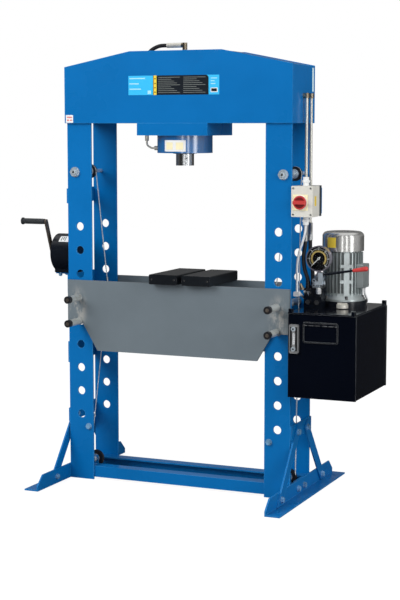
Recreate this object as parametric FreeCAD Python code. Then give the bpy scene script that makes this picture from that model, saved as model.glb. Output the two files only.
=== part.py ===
import FreeCAD, Part
import math
import os

# Hydraulic workshop press with a welded frame, a work table on locking pins,
# a rope winch for the table and a motor-driven power unit on the right side.
# Millimetres. X to the right, Y to the rear, Z up. Origin: centre of the frame, on the floor.

V = FreeCAD.Vector

# ---- posts ----
post_centre_x = 445.0
post_width = 111.0
post_inner_y = 113.0
post_thickness = 8.0
post_in_head = 127.0
pin_hole_radius = 17.5
pin_hole_first_z = 282.0
pin_hole_pitch = 100.0
pin_hole_count = 9

# ---- plates welded across the outer edges of the posts ----
tie_thickness = 6.0
tie_low_z = 245.0
tie_low_height = 57.0
tie_mid_z = 500.0
tie_mid_height = 90.0
tie_high_z = 1178.0
tie_high_height = 62.0

# ---- head ----
head_bottom_z = 1513.0
head_side_height = 232.0
head_peak_rise = 60.0
head_flat_half = 203.0
head_plate_thickness = 12.0
head_end_thickness = 5.0
head_cover_thickness = 6.0
head_cover_recess = 2.0

# ---- cylinder and its mount ----
cylinder_x = -14.0
mount_half_length = 157.0
mount_height = 50.0
mount_wall = 12.0
mount_floor = 14.0
housing_radius = 114.5
housing_height = 72.0
barrel_radius = 78.0
barrel_bore_radius = 60.0
barrel_cap_thickness = 22.0
barrel_fit_gap = 0.2
gland_neck_height = 30.0
ram_radius = 37.5
ram_stroke = 200.0
ram_nose_below = 52.0
piston_thickness = 40.0
piston_top_gap = 3.0
running_clearance = 0.05
socket_radius = 15.0
socket_depth = 45.0
set_screw_radius = 4.0
set_screw_height = 30.0

# ---- feet, beams and braces ----
foot_leg_height = 62.0
foot_leg_out = 63.5
foot_thickness = 6.0
foot_half_length = 407.0
foot_chamfer_run = 45.0
foot_chamfer_drop = 42.0
floor_bolt_x = 535.0
floor_bolt_y = 340.0
floor_bolt_hole_radius = 7.0
beam_leg_height = 48.0
beam_leg_depth = 50.0
beam_thickness = 6.0
beam_bottom_z = 10.0
brace_width = 45.0
brace_thickness = 6.0
brace_low_y = 246.0
brace_low_z = 30.0
brace_high_y = 57.0
brace_high_z = 268.0
brace_end = 22.0
brace_floor_gap = 2.0

# ---- bolts ----
bolt_radius = 6.0
bolt_head_radius = 11.5
bolt_head_height = 8.0
bolt_nut_height = 10.0
bolt_hole_gap = 0.5
nut_thread_gap = 0.1
washer_radius = 13.5
washer_thickness = 2.5
foot_bolt_y = 36.0
foot_bolt_z = 28.0
post_bolt_x = 410.0
post_bolt_z = 230.0

# ---- rope pulleys ----
rope_radius = 2.5
rope_y = 15.0
pulley_width = 16.0
top_pulley_x = 465.0
top_pulley_z = 1310.0
top_pulley_groove = 25.0
top_pulley_radius = 29.5
low_pulley_x = 446.0
low_pulley_z = 62.0
low_pulley_groove = 27.0
low_pulley_radius = 34.5
axle_radius = 8.0
axle_head_radius = 19.0
axle_head_height = 11.0
axle_washer_radius = 21.0
axle_washer_thickness = 3.0
collar_radius = 14.0
collar_length = 8.0
collar_gap = 0.5
cheek_thickness = 6.0
cheek_half_width = 16.0
cheek_gap = 3.0
pulley_bracket_half = 60.0
pulley_bracket_floor = 12.0
pulley_bracket_base = 6.0

# ---- winch ----
winch_y = -20.0
winch_z = 961.0
winch_radius = 81.0
winch_wall = 3.0
winch_inner_x = 505.0
winch_length = 95.0
winch_base_half = 42.0
winch_plate_z = 871.0
winch_plate_thickness = 6.0
winch_plate_half = 50.0
winch_plate_reach = 101.0
winch_leg_drop = 78.0
winch_leg_half = 121.0
winch_bolt_spread = 28.0
drum_rise = 14.0
drum_core_radius = 32.2
drum_flange_radius = 44.0
drum_flange_thickness = 3.0
drum_side_gap = 1.5
gear_width = 8.0
gear_module = 2.0
drum_teeth = 46
pinion_teeth = 11
pinion_offset_y = 0.0
rope_pitch = 5.8
rope_half_turns = 9
rope_exit_x = 550.0
rope_exit_rise = 24.0
rope_slot_half = 8.0
crank_shaft_radius = 8.0
crank_arm_width = 20.0
crank_arm_thickness = 8.0
crank_arm_x = 621.0
crank_set = 8.0
crank_set_low = 26.0
crank_set_high = 46.0
crank_grip_y = -89.0
crank_grip_z = 1096.0
crank_grip_radius = 11.5
crank_grip_length = 104.0
crank_grip_pin_radius = 5.0
crank_grip_flange_radius = 15.0
crank_grip_flange = 6.0

# ---- table ----
table_gap = 1.0
table_thickness = 12.0
table_top_rise = 74.0
table_end_margin = 54.5
table_ear_drop = 8.0
table_ear_x = 428.0
table_bottom_x = 360.0
table_height = 296.0
cross_plate_x = 372.0
cross_plate_thickness = 12.0
cross_plate_height = 150.0
clamp_drop = 30.0
clamp_height = 20.0
clamp_depth = 14.0
clamp_half_width = 10.0
rope_clamp_gap = 0.4

# ---- locking pins ----
pin_radius = 14.5
pin_side_offset = 0.5
pin_row_upper = 5
pin_row_lower = 4
pin_front_y = -222.0
pin_rear_y = 160.0
pin_cap_length = 18.0
pin_cap_radius = 15.5
pin_table_gap = 0.1

# ---- press blocks ----
block_height = 41.0
block_front_y = -170.0
block_rear_y = 130.0
block_length = 125.0
block_left_x = -102.0
block_right_x = 45.0
block_corner = 5.0
block_dowel_radius = 4.0

# ---- tank ----
tank_length = 277.0
tank_front_y = -168.0
tank_rear_y = 255.0
tank_bottom_z = 430.0
tank_height = 335.0
tank_wall = 3.0
lid_thickness = 6.0
lid_lug_height = 14.0
lid_lug_length = 16.0
panel_x = 62.0
panel_length = 145.0
panel_z = 652.0
panel_height = 83.0
panel_rim = 5.0
panel_depth = 2.0
sight_x = 8.0
sight_width = 38.0
sight_z = 608.0
sight_height = 116.0
sight_depth = 12.0
sight_bolt_radius = 9.0

# ---- motor and pump ----
motor_x = 633.0
motor_y = 135.0
motor_flange_radius = 96.0
motor_flange_height = 24.0
motor_body_radius = 74.0
motor_fin_radius = 82.0
motor_body_height = 202.0
motor_fin_count = 32
motor_fin_width = 4.0
motor_bore_radius = 52.0
shield_radius = 91.0
shield_rim_height = 8.0
shield_height = 32.0
rib_angle = -62.0
rib_half_width = 11.0
rib_radius = 84.0
pad_half_width = 26.0
pad_height = 13.0
pad_low_z = 875.0
pad_high_z = 938.0
fan_cover_radius = 85.0
fan_cover_height = 78.0
fan_cover_wall = 2.5
fan_cover_round = 20.0
fan_slot_count = 12
terminal_depth = 17.0
terminal_width = 80.0
terminal_low_z = 77.0
terminal_height = 97.0
rotor_radius = 50.0
rotor_length = 120.0
shaft_radius = 11.0
bearing_plate = 14.0
fan_radius = 70.0
fan_height = 40.0
pump_radius = 40.0
pump_length = 90.0
suction_radius = 9.0
suction_bottom_gap = 25.0

# ---- valve, gauge and lever ----
valve_x = 513.0
valve_length = 76.0
valve_front_y = -5.0
valve_depth = 50.0
valve_height = 79.0
valve_rear_length = 38.0
valve_rear_depth = 25.0
valve_knob_x = 66.5
valve_knob_low = 59.0
valve_knob_height = 23.0
valve_knob_radius = 9.5
stack_x = 569.0
stack_y = 18.0
stack_half = 21.0
stack_height = 57.0
fork_rise = 18.0
fork_thickness = 14.0
gauge_x = 573.0
gauge_front_y = -5.0
gauge_z = 971.0
gauge_radius = 52.0
gauge_depth = 26.0
gauge_rim = 4.0
gauge_recess = 8.0
gauge_glass_thickness = 2.0
needle_length = 34.0
needle_width = 3.0
needle_thickness = 1.0
needle_pin_radius = 2.5
lever_pivot_x = 592.0
lever_pivot_z = 908.0
lever_y = -20.0
lever_reach = 190.0
lever_rise_angle = 9.5
lever_radius = 5.0
lever_grip_radius = 10.0
lever_grip_length = 55.0
lever_eye_radius = 11.0
lever_pin_radius = 5.0
filler_x = 670.0
filler_y = 18.0
filler_radius = 24.0
filler_height = 14.0
filler_neck_radius = 13.0
filler_neck_height = 12.0

# ---- main switch ----
switch_outer_x = 591.0
switch_lid_x = 502.0
switch_inner_x = 508.0
switch_bottom_z = 1145.0
switch_height = 122.0
switch_back_y = -22.0
switch_base_depth = 26.0
switch_cover_depth = 74.0
switch_lid_depth = 8.0
switch_wall = 3.0
switch_plate_thickness = 6.0
knob_x = 540.0
knob_z = 1202.0
knob_radius = 27.0
knob_disc = 9.0
knob_grip = 11.0
knob_plate_half = 31.0
knob_plate_thickness = 2.0
knob_spindle_radius = 5.0
gland_x = 546.0
gland_y = -80.0
gland_radius = 12.0
gland_length = 34.0
gland_bore_radius = 4.6

# ---- pipes, hoses and cables ----
pipe_radius = 6.0
pipe_x = 520.0
pipe_front_y = -5.0
pipe_rear_y = 50.0
pipe_bottom_z = 1112.0
pipe_exit_rise = 99.0
elbow_radius = 10.0
elbow_height = 20.0
ferrule_radius = 9.0
ferrule_length = 46.0
hose_radius = 8.0
cable_radius = 4.5
cable_x = 503.0
plug_y = -58.0
plug_half_width = 12.0
plug_half_depth = 10.0
plug_height = 19.0
plug_drop = 9.0
return_pipe_radius = 4.0
return_port_rise = 19.0
return_nut_radius = 9.0
return_nut_length = 24.0
top_port_rise = 54.0

# ---- derived sizes ----
post_outer_x = post_centre_x + post_width / 2
post_height = head_bottom_z + post_in_head
post_edge_x = post_centre_x - post_width / 2
post_outer_y = post_inner_y + post_thickness
head_half = post_outer_x + head_end_thickness
head_outer_y = post_outer_y + head_plate_thickness
head_side_top = head_bottom_z + head_side_height
head_top = head_side_top + head_peak_rise
tie_outer_x = post_outer_x + tie_thickness
mount_bottom_z = head_bottom_z - mount_height
housing_bottom_z = mount_bottom_z - housing_height
nose_z = housing_bottom_z - ram_nose_below
return_port_z = housing_bottom_z + return_port_rise
gland_top_z = mount_bottom_z + gland_neck_height
piston_low_z = gland_top_z + ram_stroke + 20.0
piston_high_z = piston_low_z + piston_thickness
barrel_inner_top = piston_high_z + piston_top_gap
barrel_top = barrel_inner_top + barrel_cap_thickness
top_port_z = barrel_top + top_port_rise
pipe_top_z = head_bottom_z + pipe_exit_rise
pin_x = post_centre_x - pin_side_offset
table_half_length = pin_x + table_end_margin
table_inner_y = post_outer_y + table_gap
table_outer_y = table_inner_y + table_thickness
upper_pin_z = pin_hole_first_z + pin_row_upper * pin_hole_pitch
lower_pin_z = pin_hole_first_z + pin_row_lower * pin_hole_pitch
table_top_z = upper_pin_z + table_top_rise
table_bottom_z = table_top_z - table_height
clamp_top_z = table_top_z - clamp_drop
clamp_x = cross_plate_x + cross_plate_thickness / 2
rope_clamp_x = clamp_x + clamp_depth / 2
drum_z = winch_z + drum_rise
drum_rope_radius = drum_core_radius + rope_radius + 0.3
winch_outer_x = winch_inner_x + winch_length
winch_base_z = winch_plate_z + winch_plate_thickness
gear_distance = gear_module * (drum_teeth + pinion_teeth) / 2
pinion_y = winch_y + pinion_offset_y
pinion_z = drum_z - math.sqrt(gear_distance ** 2 - pinion_offset_y ** 2)
gear_outer_x = winch_outer_x - winch_wall - drum_side_gap
gear_inner_x = gear_outer_x - gear_width
tank_x = tie_outer_x
lid_bottom_z = tank_bottom_z + tank_height
lid_top_z = lid_bottom_z + lid_thickness
motor_body_z = lid_top_z + motor_flange_height
motor_top_z = motor_body_z + motor_body_height
fan_cover_top = motor_top_z + fan_cover_height
valve_top_z = lid_top_z + valve_height
stack_top_z = valve_top_z + stack_height
switch_top_z = switch_bottom_z + switch_height
switch_split_y = switch_back_y - switch_base_depth
switch_front_y = switch_split_y - switch_cover_depth
switch_lid_y = switch_front_y - switch_lid_depth

os.makedirs("parts", exist_ok=True)


# ---- shape helpers ----
def box(x0, x1, y0, y1, z0, z1):
    corner = V(min(x0, x1), min(y0, y1), min(z0, z1))
    return Part.makeBox(abs(x1 - x0), abs(y1 - y0), abs(z1 - z0), corner)


def rod(start, end, radius):
    along = end - start
    return Part.makeCylinder(radius, along.Length, start, along)


def rod_x(x0, x1, y, z, radius):
    return rod(V(min(x0, x1), y, z), V(max(x0, x1), y, z), radius)


def rod_y(x, y0, y1, z, radius):
    return rod(V(x, min(y0, y1), z), V(x, max(y0, y1), z), radius)


def rod_z(x, y, z0, z1, radius):
    return rod(V(x, y, min(z0, z1)), V(x, y, max(z0, z1)), radius)


def prism_xz(points, y0, y1):
    loop = [V(x, min(y0, y1), z) for x, z in points]
    face = Part.Face(Part.makePolygon(loop + [loop[0]]))
    return face.extrude(V(0, abs(y1 - y0), 0))


def prism_yz(points, x0, x1):
    loop = [V(min(x0, x1), y, z) for y, z in points]
    face = Part.Face(Part.makePolygon(loop + [loop[0]]))
    return face.extrude(V(abs(x1 - x0), 0, 0))


def prism_xy(points, z0, z1):
    loop = [V(x, y, z0) for x, y in points]
    face = Part.Face(Part.makePolygon(loop + [loop[0]]))
    return face.extrude(V(0, 0, z1 - z0))


def hexagon(start, end, radius):
    along = end - start
    length = along.Length
    loop = []
    for step in range(7):
        angle = math.radians(60 * step)
        loop.append(V(radius * math.cos(angle), radius * math.sin(angle), 0))
    body = Part.Face(Part.makePolygon(loop)).extrude(V(0, 0, length))
    body.Placement = FreeCAD.Placement(start, FreeCAD.Rotation(V(0, 0, 1), along))
    return body


def rounded_box(x0, x1, y0, y1, z0, z1, radius, axis):
    body = box(x0, x1, y0, y1, z0, z1)
    edges = []
    for edge in body.Edges:
        direction = edge.Vertexes[1].Point - edge.Vertexes[0].Point
        if abs(direction.getAngle(axis) - math.pi / 2) > 1:
            edges.append(edge)
    return body.makeFillet(radius, edges)


def fuse(shapes):
    body = shapes[0].multiFuse(shapes[1:])
    return body.removeSplitter()


def mirrored_x(shape):
    return shape.mirror(V(0, 0, 0), V(1, 0, 0))


def mirrored_y(shape):
    return shape.mirror(V(0, 0, 0), V(0, 1, 0))


def save(node, shapes):
    solids = []
    for shape in shapes:
        solids.extend(shape.Solids)
    result = solids[0]
    if len(solids) > 1:
        result = Part.makeCompound(solids)
    result.exportStep("parts/" + node + ".step")


# ---- tubes along straight runs joined by tangent arcs ----
def bend_edge(start, corner, end):
    chord_middle = (start + end) * 0.5
    reach = corner - chord_middle
    half_chord = (end - start).Length / 2
    tangent = (corner - start).Length
    radius = tangent * half_chord / reach.Length
    sagitta = radius - math.sqrt(max(radius ** 2 - half_chord ** 2, 0.0))
    middle = chord_middle + reach * (sagitta / reach.Length)
    return Part.Arc(start, middle, end).toShape(), radius


def sweep(edges, start, direction, radius):
    ring = Part.Wire(Part.makeCircle(radius, start, direction))
    return Part.Wire(edges).makePipeShell([ring], True, False)


def routed_tube(name, points, radius):
    path = [V(*point) for point in points]
    edges = []
    radii = []
    here = path[0]
    for index in range(1, len(path) - 1):
        before = path[index] - path[index - 1]
        after = path[index + 1] - path[index]
        turn = before.getAngle(after)
        shorter = min(before.Length, after.Length)
        cut = 0.45 * shorter
        start = path[index] - before * (cut / before.Length)
        end = path[index] + after * (cut / after.Length)
        edges.append(Part.LineSegment(here, start).toShape())
        arc, bend_radius = bend_edge(start, path[index], end)
        edges.append(arc)
        radii.append(bend_radius)
        here = end
        if math.degrees(turn) > 91:
            print(name, "sharp turn", round(math.degrees(turn)))
    edges.append(Part.LineSegment(here, path[-1]).toShape())
    body = sweep(edges, path[0], path[1] - path[0], radius)
    length = sum(edge.Length for edge in edges)
    ideal = math.pi * radius ** 2 * length
    print(name, "length", round(length), "least radius", round(min(radii), 1),
          "volume ratio", round(body.Volume / ideal, 4))
    return body


# ---- bolts ----
def bolt_set(head_point, direction, grip, radius=bolt_radius):
    # A hexagon bolt with its washer and nut, from the face under the washer.
    outward = V(direction)
    outward.normalize()
    scale = radius / bolt_radius
    seat = head_point + outward * washer_thickness
    head_end = seat + outward * bolt_head_height * scale
    far = head_point - outward * grip
    tip = far - outward * (bolt_nut_height * scale + 3)
    bolt = fuse([hexagon(seat, head_end, bolt_head_radius * scale), rod(tip, seat, radius)])
    washer = rod(head_point, seat, washer_radius * scale).cut(rod(tip, head_end, radius + nut_thread_gap))
    nut_end = far - outward * bolt_nut_height * scale
    nut = hexagon(nut_end, far, bolt_head_radius * scale).cut(rod(tip, head_end, radius + nut_thread_gap))
    return [bolt, washer, nut]


def bolt_hole(head_point, direction, depth, radius=bolt_radius):
    outward = V(direction)
    outward.normalize()
    start = head_point + outward * 1
    end = head_point - outward * (depth + 1)
    return rod(start, end, radius + bolt_hole_gap)


# ---- frame ----
def post(side, depth):
    x0 = side * post_edge_x
    x1 = side * post_outer_x
    body = box(x0, x1, depth * post_inner_y, depth * post_outer_y, 0, post_height)
    cutters = []
    for index in range(pin_hole_count):
        z = pin_hole_first_z + index * pin_hole_pitch
        cutters.append(rod_y(side * post_centre_x, depth * (post_inner_y - 1), depth * (post_outer_y + 1),
                             z, pin_hole_radius))
    cutters.append(rod_y(side * top_pulley_x, depth * (post_inner_y - 1), depth * (post_outer_y + 1),
                         top_pulley_z, axle_radius + bolt_hole_gap))
    if depth < 0:
        cutters.append(rod_y(side * post_bolt_x, -post_inner_y + 1, -post_outer_y - 1,
                             post_bolt_z, bolt_radius + bolt_hole_gap))
    return body.cut(Part.makeCompound(cutters))


def make_posts():
    save("posts_left", [post(-1, -1), post(-1, 1)])
    save("posts_right", [post(1, -1), post(1, 1)])


def head_outline():
    return [(-head_half, head_bottom_z), (head_half, head_bottom_z), (head_half, head_side_top),
            (head_flat_half, head_top), (-head_flat_half, head_top), (-head_half, head_side_top)]


def head_cover(side):
    slope = head_peak_rise / (head_half - head_flat_half)
    drop = head_cover_recess
    points = [(side * head_half, head_side_top - drop),
              (side * head_flat_half, head_top - drop),
              (side * head_flat_half, head_top - drop - head_cover_thickness),
              (side * head_half, head_side_top - drop - head_cover_thickness)]
    cover = prism_xz(points, -post_outer_y, post_outer_y)
    end_top = head_side_top - drop - head_cover_thickness - slope
    end = box(side * post_outer_x, side * head_half, -post_outer_y, post_outer_y, head_bottom_z, end_top)
    for y in (pipe_front_y, pipe_rear_y):
        if side > 0:
            z = pipe_top_z + elbow_height / 2
            end = end.cut(rod_x(post_outer_x - 1, head_half + 1, y, z, pipe_radius + bolt_hole_gap))
    return [cover, end]


def make_head():
    save("head_front_plate", [prism_xz(head_outline(), -post_outer_y, -head_outer_y)])
    save("head_rear_plate", [prism_xz(head_outline(), post_outer_y, head_outer_y)])
    save("head_closing_plates", head_cover(-1) + head_cover(1))


def make_cylinder():
    x0 = cylinder_x - mount_half_length
    x1 = cylinder_x + mount_half_length
    outer = box(x0, x1, -head_outer_y, head_outer_y, mount_bottom_z, head_bottom_z)
    inner = box(x0 + mount_wall, x1 - mount_wall, -head_outer_y + mount_wall, head_outer_y - mount_wall,
                mount_bottom_z + mount_floor, head_bottom_z + 1)
    bore = rod_z(cylinder_x, 0, mount_bottom_z - 1, head_bottom_z, barrel_radius + barrel_fit_gap)
    save("cylinder_mount", [outer.cut(inner).cut(bore)])

    # The lower housing carries the rod gland, which stands up into the barrel.
    neck_radius = barrel_bore_radius - barrel_fit_gap
    housing = fuse([rod_z(cylinder_x, 0, housing_bottom_z, mount_bottom_z, housing_radius),
                    rod_z(cylinder_x, 0, mount_bottom_z, gland_top_z, neck_radius)])
    rod_bore = rod_z(cylinder_x, 0, housing_bottom_z - 1, gland_top_z + 1, ram_radius + running_clearance)
    housing = housing.cut(rod_bore)
    port = rod_x(cylinder_x - housing_radius - 1, cylinder_x - ram_radius, 0, return_port_z,
                 return_pipe_radius + bolt_hole_gap)
    save("cylinder_housing", [housing.cut(port)])

    barrel = rod_z(cylinder_x, 0, mount_bottom_z, barrel_top, barrel_radius)
    chamber = rod_z(cylinder_x, 0, mount_bottom_z - 1, barrel_inner_top, barrel_bore_radius)
    top_port = rod_z(cylinder_x, 0, barrel_inner_top - 1, barrel_top + 1, pipe_radius + bolt_hole_gap)
    save("cylinder_barrel", [barrel.cut(chamber).cut(top_port)])


def make_ram():
    body = fuse([rod_z(cylinder_x, 0, nose_z, piston_low_z, ram_radius),
                 rod_z(cylinder_x, 0, piston_low_z, piston_high_z, barrel_bore_radius - running_clearance)])
    socket = rod_z(cylinder_x, 0, nose_z - 1, nose_z + socket_depth, socket_radius)
    angle = math.radians(36)
    side = V(math.sin(angle), -math.cos(angle), 0)
    centre = V(cylinder_x, 0, nose_z + set_screw_height)
    screw_hole = rod(centre, centre + side * (ram_radius + 1), set_screw_radius)
    save("ram", [body.cut(socket).cut(screw_hole)])


def make_frame_brackets():
    pieces = []
    for side in (-1, 1):
        for z, height in ((tie_low_z, tie_low_height), (tie_mid_z, tie_mid_height),
                          (tie_high_z, tie_high_height)):
            plate = box(side * post_outer_x, side * tie_outer_x, -post_outer_y, post_outer_y, z, z + height)
            if z == tie_high_z and side < 0:
                plate = plate.cut(box(-post_outer_x + 1, -tie_outer_x - 1, rope_y - rope_slot_half,
                                      rope_y + rope_slot_half, z + height / 3, z + height + 1))
            if z == tie_low_z:
                for y in (-brace_high_y, brace_high_y):
                    plate = plate.cut(bolt_hole(V(side * tie_outer_x, y, brace_high_z), V(side, 0, 0),
                                                tie_thickness))
            pieces.append(plate)
    pieces.append(box(tie_outer_x, switch_outer_x, switch_back_y, switch_back_y + switch_plate_thickness,
                      switch_bottom_z + 10, switch_top_z - 10))
    for side in (-1, 1):
        pieces.append(pulley_bracket(side))
    save("frame_brackets", pieces)


def pulley_bracket(side):
    back = box(side * (post_outer_x - cheek_thickness), side * post_outer_x,
               -pulley_bracket_half, pulley_bracket_half, pulley_bracket_floor, low_pulley_z)
    for y in (-foot_bolt_y, foot_bolt_y):
        back = back.cut(bolt_hole(V(side * post_outer_x, y, foot_bolt_z), V(side, 0, 0), cheek_thickness))
    reach = pulley_width / 2 + cheek_gap + cheek_thickness
    # The two cheeks rise from a base plate below the pulley.
    parts = [back, box(side * (low_pulley_x - cheek_half_width), side * (post_outer_x - cheek_thickness / 2),
                       rope_y - reach, rope_y + reach, pulley_bracket_floor,
                       pulley_bracket_floor + pulley_bracket_base)]
    for turn in (-1, 1):
        near = rope_y + turn * (pulley_width / 2 + cheek_gap)
        parts.append(box(side * (low_pulley_x - cheek_half_width), side * (low_pulley_x + cheek_half_width),
                         near, near + turn * cheek_thickness, pulley_bracket_floor,
                         low_pulley_z + cheek_half_width))
    body = fuse(parts)
    return body.cut(rod_y(side * low_pulley_x, rope_y - 60, rope_y + 60, low_pulley_z,
                          axle_radius + bolt_hole_gap))


def foot(side):
    profile = [(side * post_outer_x, 0), (side * (post_outer_x + foot_leg_out), 0),
               (side * (post_outer_x + foot_leg_out), foot_thickness),
               (side * tie_outer_x, foot_thickness), (side * tie_outer_x, foot_leg_height),
               (side * post_outer_x, foot_leg_height)]
    body = prism_xz(profile, -foot_half_length, foot_half_length)
    for end in (-1, 1):
        corner = [(end * (foot_half_length + 1), foot_leg_height + 1),
                  (end * (foot_half_length - foot_chamfer_run), foot_leg_height + 1),
                  (end * (foot_half_length - foot_chamfer_run), foot_leg_height),
                  (end * (foot_half_length + 1), foot_leg_height - foot_chamfer_drop)]
        body = body.cut(prism_yz(corner, side * (post_outer_x - 1), side * (tie_outer_x + 1)))
        body = body.cut(rod_z(side * floor_bolt_x, end * floor_bolt_y, -1, foot_thickness + 1,
                              floor_bolt_hole_radius))
        body = body.cut(bolt_hole(V(side * tie_outer_x, end * foot_bolt_y, foot_bolt_z), V(side, 0, 0),
                                  tie_thickness))
        body = body.cut(bolt_hole(V(side * tie_outer_x, end * brace_low_y, brace_low_z), V(side, 0, 0),
                                  tie_thickness))
    return body


def brace(side, end):
    low = V(0, end * brace_low_y, brace_low_z)
    high = V(0, end * brace_high_y, brace_high_z)
    along = high - low
    along.normalize()
    across = V(0, -along.z, along.y)
    first = low - along * (brace_end * 2)
    last = high + along * brace_end
    half = brace_width / 2
    corners = [first + across * half, last + across * half, last - across * half, first - across * half]
    x0 = side * tie_outer_x
    x1 = side * (tie_outer_x + brace_thickness)
    body = prism_yz([(point.y, point.z) for point in corners], x0, x1)
    body = body.common(box(x0, x1, -1000, 1000, foot_thickness + brace_floor_gap, 1000))
    for point in (low, high):
        body = body.cut(bolt_hole(V(x1, point.y, point.z), V(side, 0, 0), brace_thickness))
    return body


def make_feet_and_braces():
    save("foot_left", [foot(-1)])
    save("foot_right", [foot(1)])
    save("braces", [brace(-1, -1), brace(-1, 1), brace(1, -1), brace(1, 1)])
    top = beam_bottom_z + beam_leg_height
    outline = [(-post_inner_y, beam_bottom_z), (-post_inner_y + beam_thickness, beam_bottom_z),
               (-post_inner_y + beam_thickness, top - beam_thickness),
               (-post_inner_y + beam_leg_depth, top - beam_thickness),
               (-post_inner_y + beam_leg_depth, top), (-post_inner_y, top)]
    front = prism_yz(outline, -post_outer_x, post_outer_x)
    save("base_beams", [front, mirrored_y(front)])


def make_frame_bolts():
    pieces = []
    for side in (-1, 1):
        out = V(side, 0, 0)
        for end in (-1, 1):
            low = V(side * (tie_outer_x + brace_thickness), end * brace_low_y, brace_low_z)
            high = V(side * (tie_outer_x + brace_thickness), end * brace_high_y, brace_high_z)
            pieces += bolt_set(low, out, brace_thickness + tie_thickness)
            pieces += bolt_set(high, out, brace_thickness + tie_thickness)
            foot_point = V(side * tie_outer_x, end * foot_bolt_y, foot_bolt_z)
            pieces += bolt_set(foot_point, out, tie_thickness + cheek_thickness)
        pieces += bolt_set(V(side * post_bolt_x, -post_outer_y, post_bolt_z), V(0, -1, 0), post_thickness)
    for x in (winch_inner_x + 20, winch_outer_x - 20):
        for turn in (-1, 1):
            point = V(-x, winch_y + turn * winch_bolt_spread, winch_base_z + winch_wall)
            pieces += bolt_set(point, V(0, 0, 1), winch_wall + winch_plate_thickness, bolt_radius * 0.8)
    save("frame_bolts", pieces)


# ---- pulleys and their axles ----
def pulley(x, z, groove, radius):
    half = pulley_width / 2
    lip = half - 2
    bore = axle_radius + running_clearance
    points = [(bore, -half), (radius, -half), (radius, -lip), (groove, -rope_radius),
              (groove, rope_radius), (radius, lip), (radius, half), (bore, half)]
    loop = [V(x + r, rope_y + y, z) for r, y in points]
    face = Part.Face(Part.makePolygon(loop + [loop[0]]))
    return face.revolve(V(x, rope_y, z), V(0, 1, 0), 360)


def make_pulleys():
    for side, name in ((-1, "left"), (1, "right")):
        save("pulley_top_" + name, [pulley(side * top_pulley_x, top_pulley_z, top_pulley_groove,
                                           top_pulley_radius)])
        save("pulley_bottom_" + name, [pulley(side * low_pulley_x, low_pulley_z, low_pulley_groove,
                                              low_pulley_radius)])


def make_axles():
    pieces = []
    for side in (-1, 1):
        x = side * top_pulley_x
        z = top_pulley_z
        seat = -post_outer_y - axle_washer_thickness
        head = hexagon(V(x, seat - axle_head_height, z), V(x, seat, z), axle_head_radius)
        tail = post_outer_y + axle_head_height + 4
        pieces.append(fuse([head, rod_y(x, seat, tail, z, axle_radius)]))
        shaft = rod_y(x, seat - 1, tail + 1, z, axle_radius + nut_thread_gap)
        pieces.append(rod_y(x, seat, -post_outer_y, z, axle_washer_radius).cut(shaft))
        nut = hexagon(V(x, post_outer_y, z), V(x, post_outer_y + axle_head_height, z), axle_head_radius)
        pieces.append(nut.cut(shaft))
        low_x = side * low_pulley_x
        reach = pulley_width / 2 + cheek_gap + cheek_thickness
        low_head = hexagon(V(low_x, rope_y - reach - 8, low_pulley_z), V(low_x, rope_y - reach, low_pulley_z),
                           collar_radius)
        low_tail = rope_y + reach + 14
        pieces.append(fuse([low_head, rod_y(low_x, rope_y - reach, low_tail, low_pulley_z, axle_radius)]))
        low_shaft = rod_y(low_x, rope_y - reach - 1, low_tail + 1, low_pulley_z, axle_radius + nut_thread_gap)
        low_nut = hexagon(V(low_x, rope_y + reach, low_pulley_z), V(low_x, rope_y + reach + 10, low_pulley_z),
                          collar_radius)
        pieces.append(low_nut.cut(low_shaft))
        for turn in (-1, 1):
            near = rope_y + turn * (pulley_width / 2 + collar_gap)
            pieces.append(rod_y(x, near, near + turn * collar_length, z, collar_radius).cut(shaft))
            thin = cheek_gap - collar_gap
            pieces.append(rod_y(low_x, near, near + turn * thin, low_pulley_z, collar_radius).cut(low_shaft))
    save("pulley_axles", pieces)


# ---- ropes ----
def touch_point(px, pz, cx, cz, radius, side):
    # The point where a straight line from (px, pz) touches a circle; side picks one of the two.
    dx = px - cx
    dz = pz - cz
    distance = math.hypot(dx, dz)
    angle = math.atan2(dz, dx) + side * math.acos(radius / distance)
    return cx + radius * math.cos(angle), cz + radius * math.sin(angle), angle


def rope_arc(cx, cz, radius, start, end):
    middle = (start + end) / 2
    points = []
    for angle in (start, middle, end):
        points.append(V(cx + radius * math.cos(angle), rope_y, cz + radius * math.sin(angle)))
    return Part.Arc(points[0], points[1], points[2]).toShape()


def straight(x0, z0, x1, z1):
    return Part.LineSegment(V(x0, rope_y, z0), V(x1, rope_y, z1)).toShape()


def rope_body(name, edges, direction):
    start = edges[0].Vertexes[0].Point
    body = sweep(edges, start, direction, rope_radius)
    length = sum(edge.Length for edge in edges)
    ideal = math.pi * rope_radius ** 2 * length
    print(name, "length", round(length), "volume ratio", round(body.Volume / ideal, 4))
    return body


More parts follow.
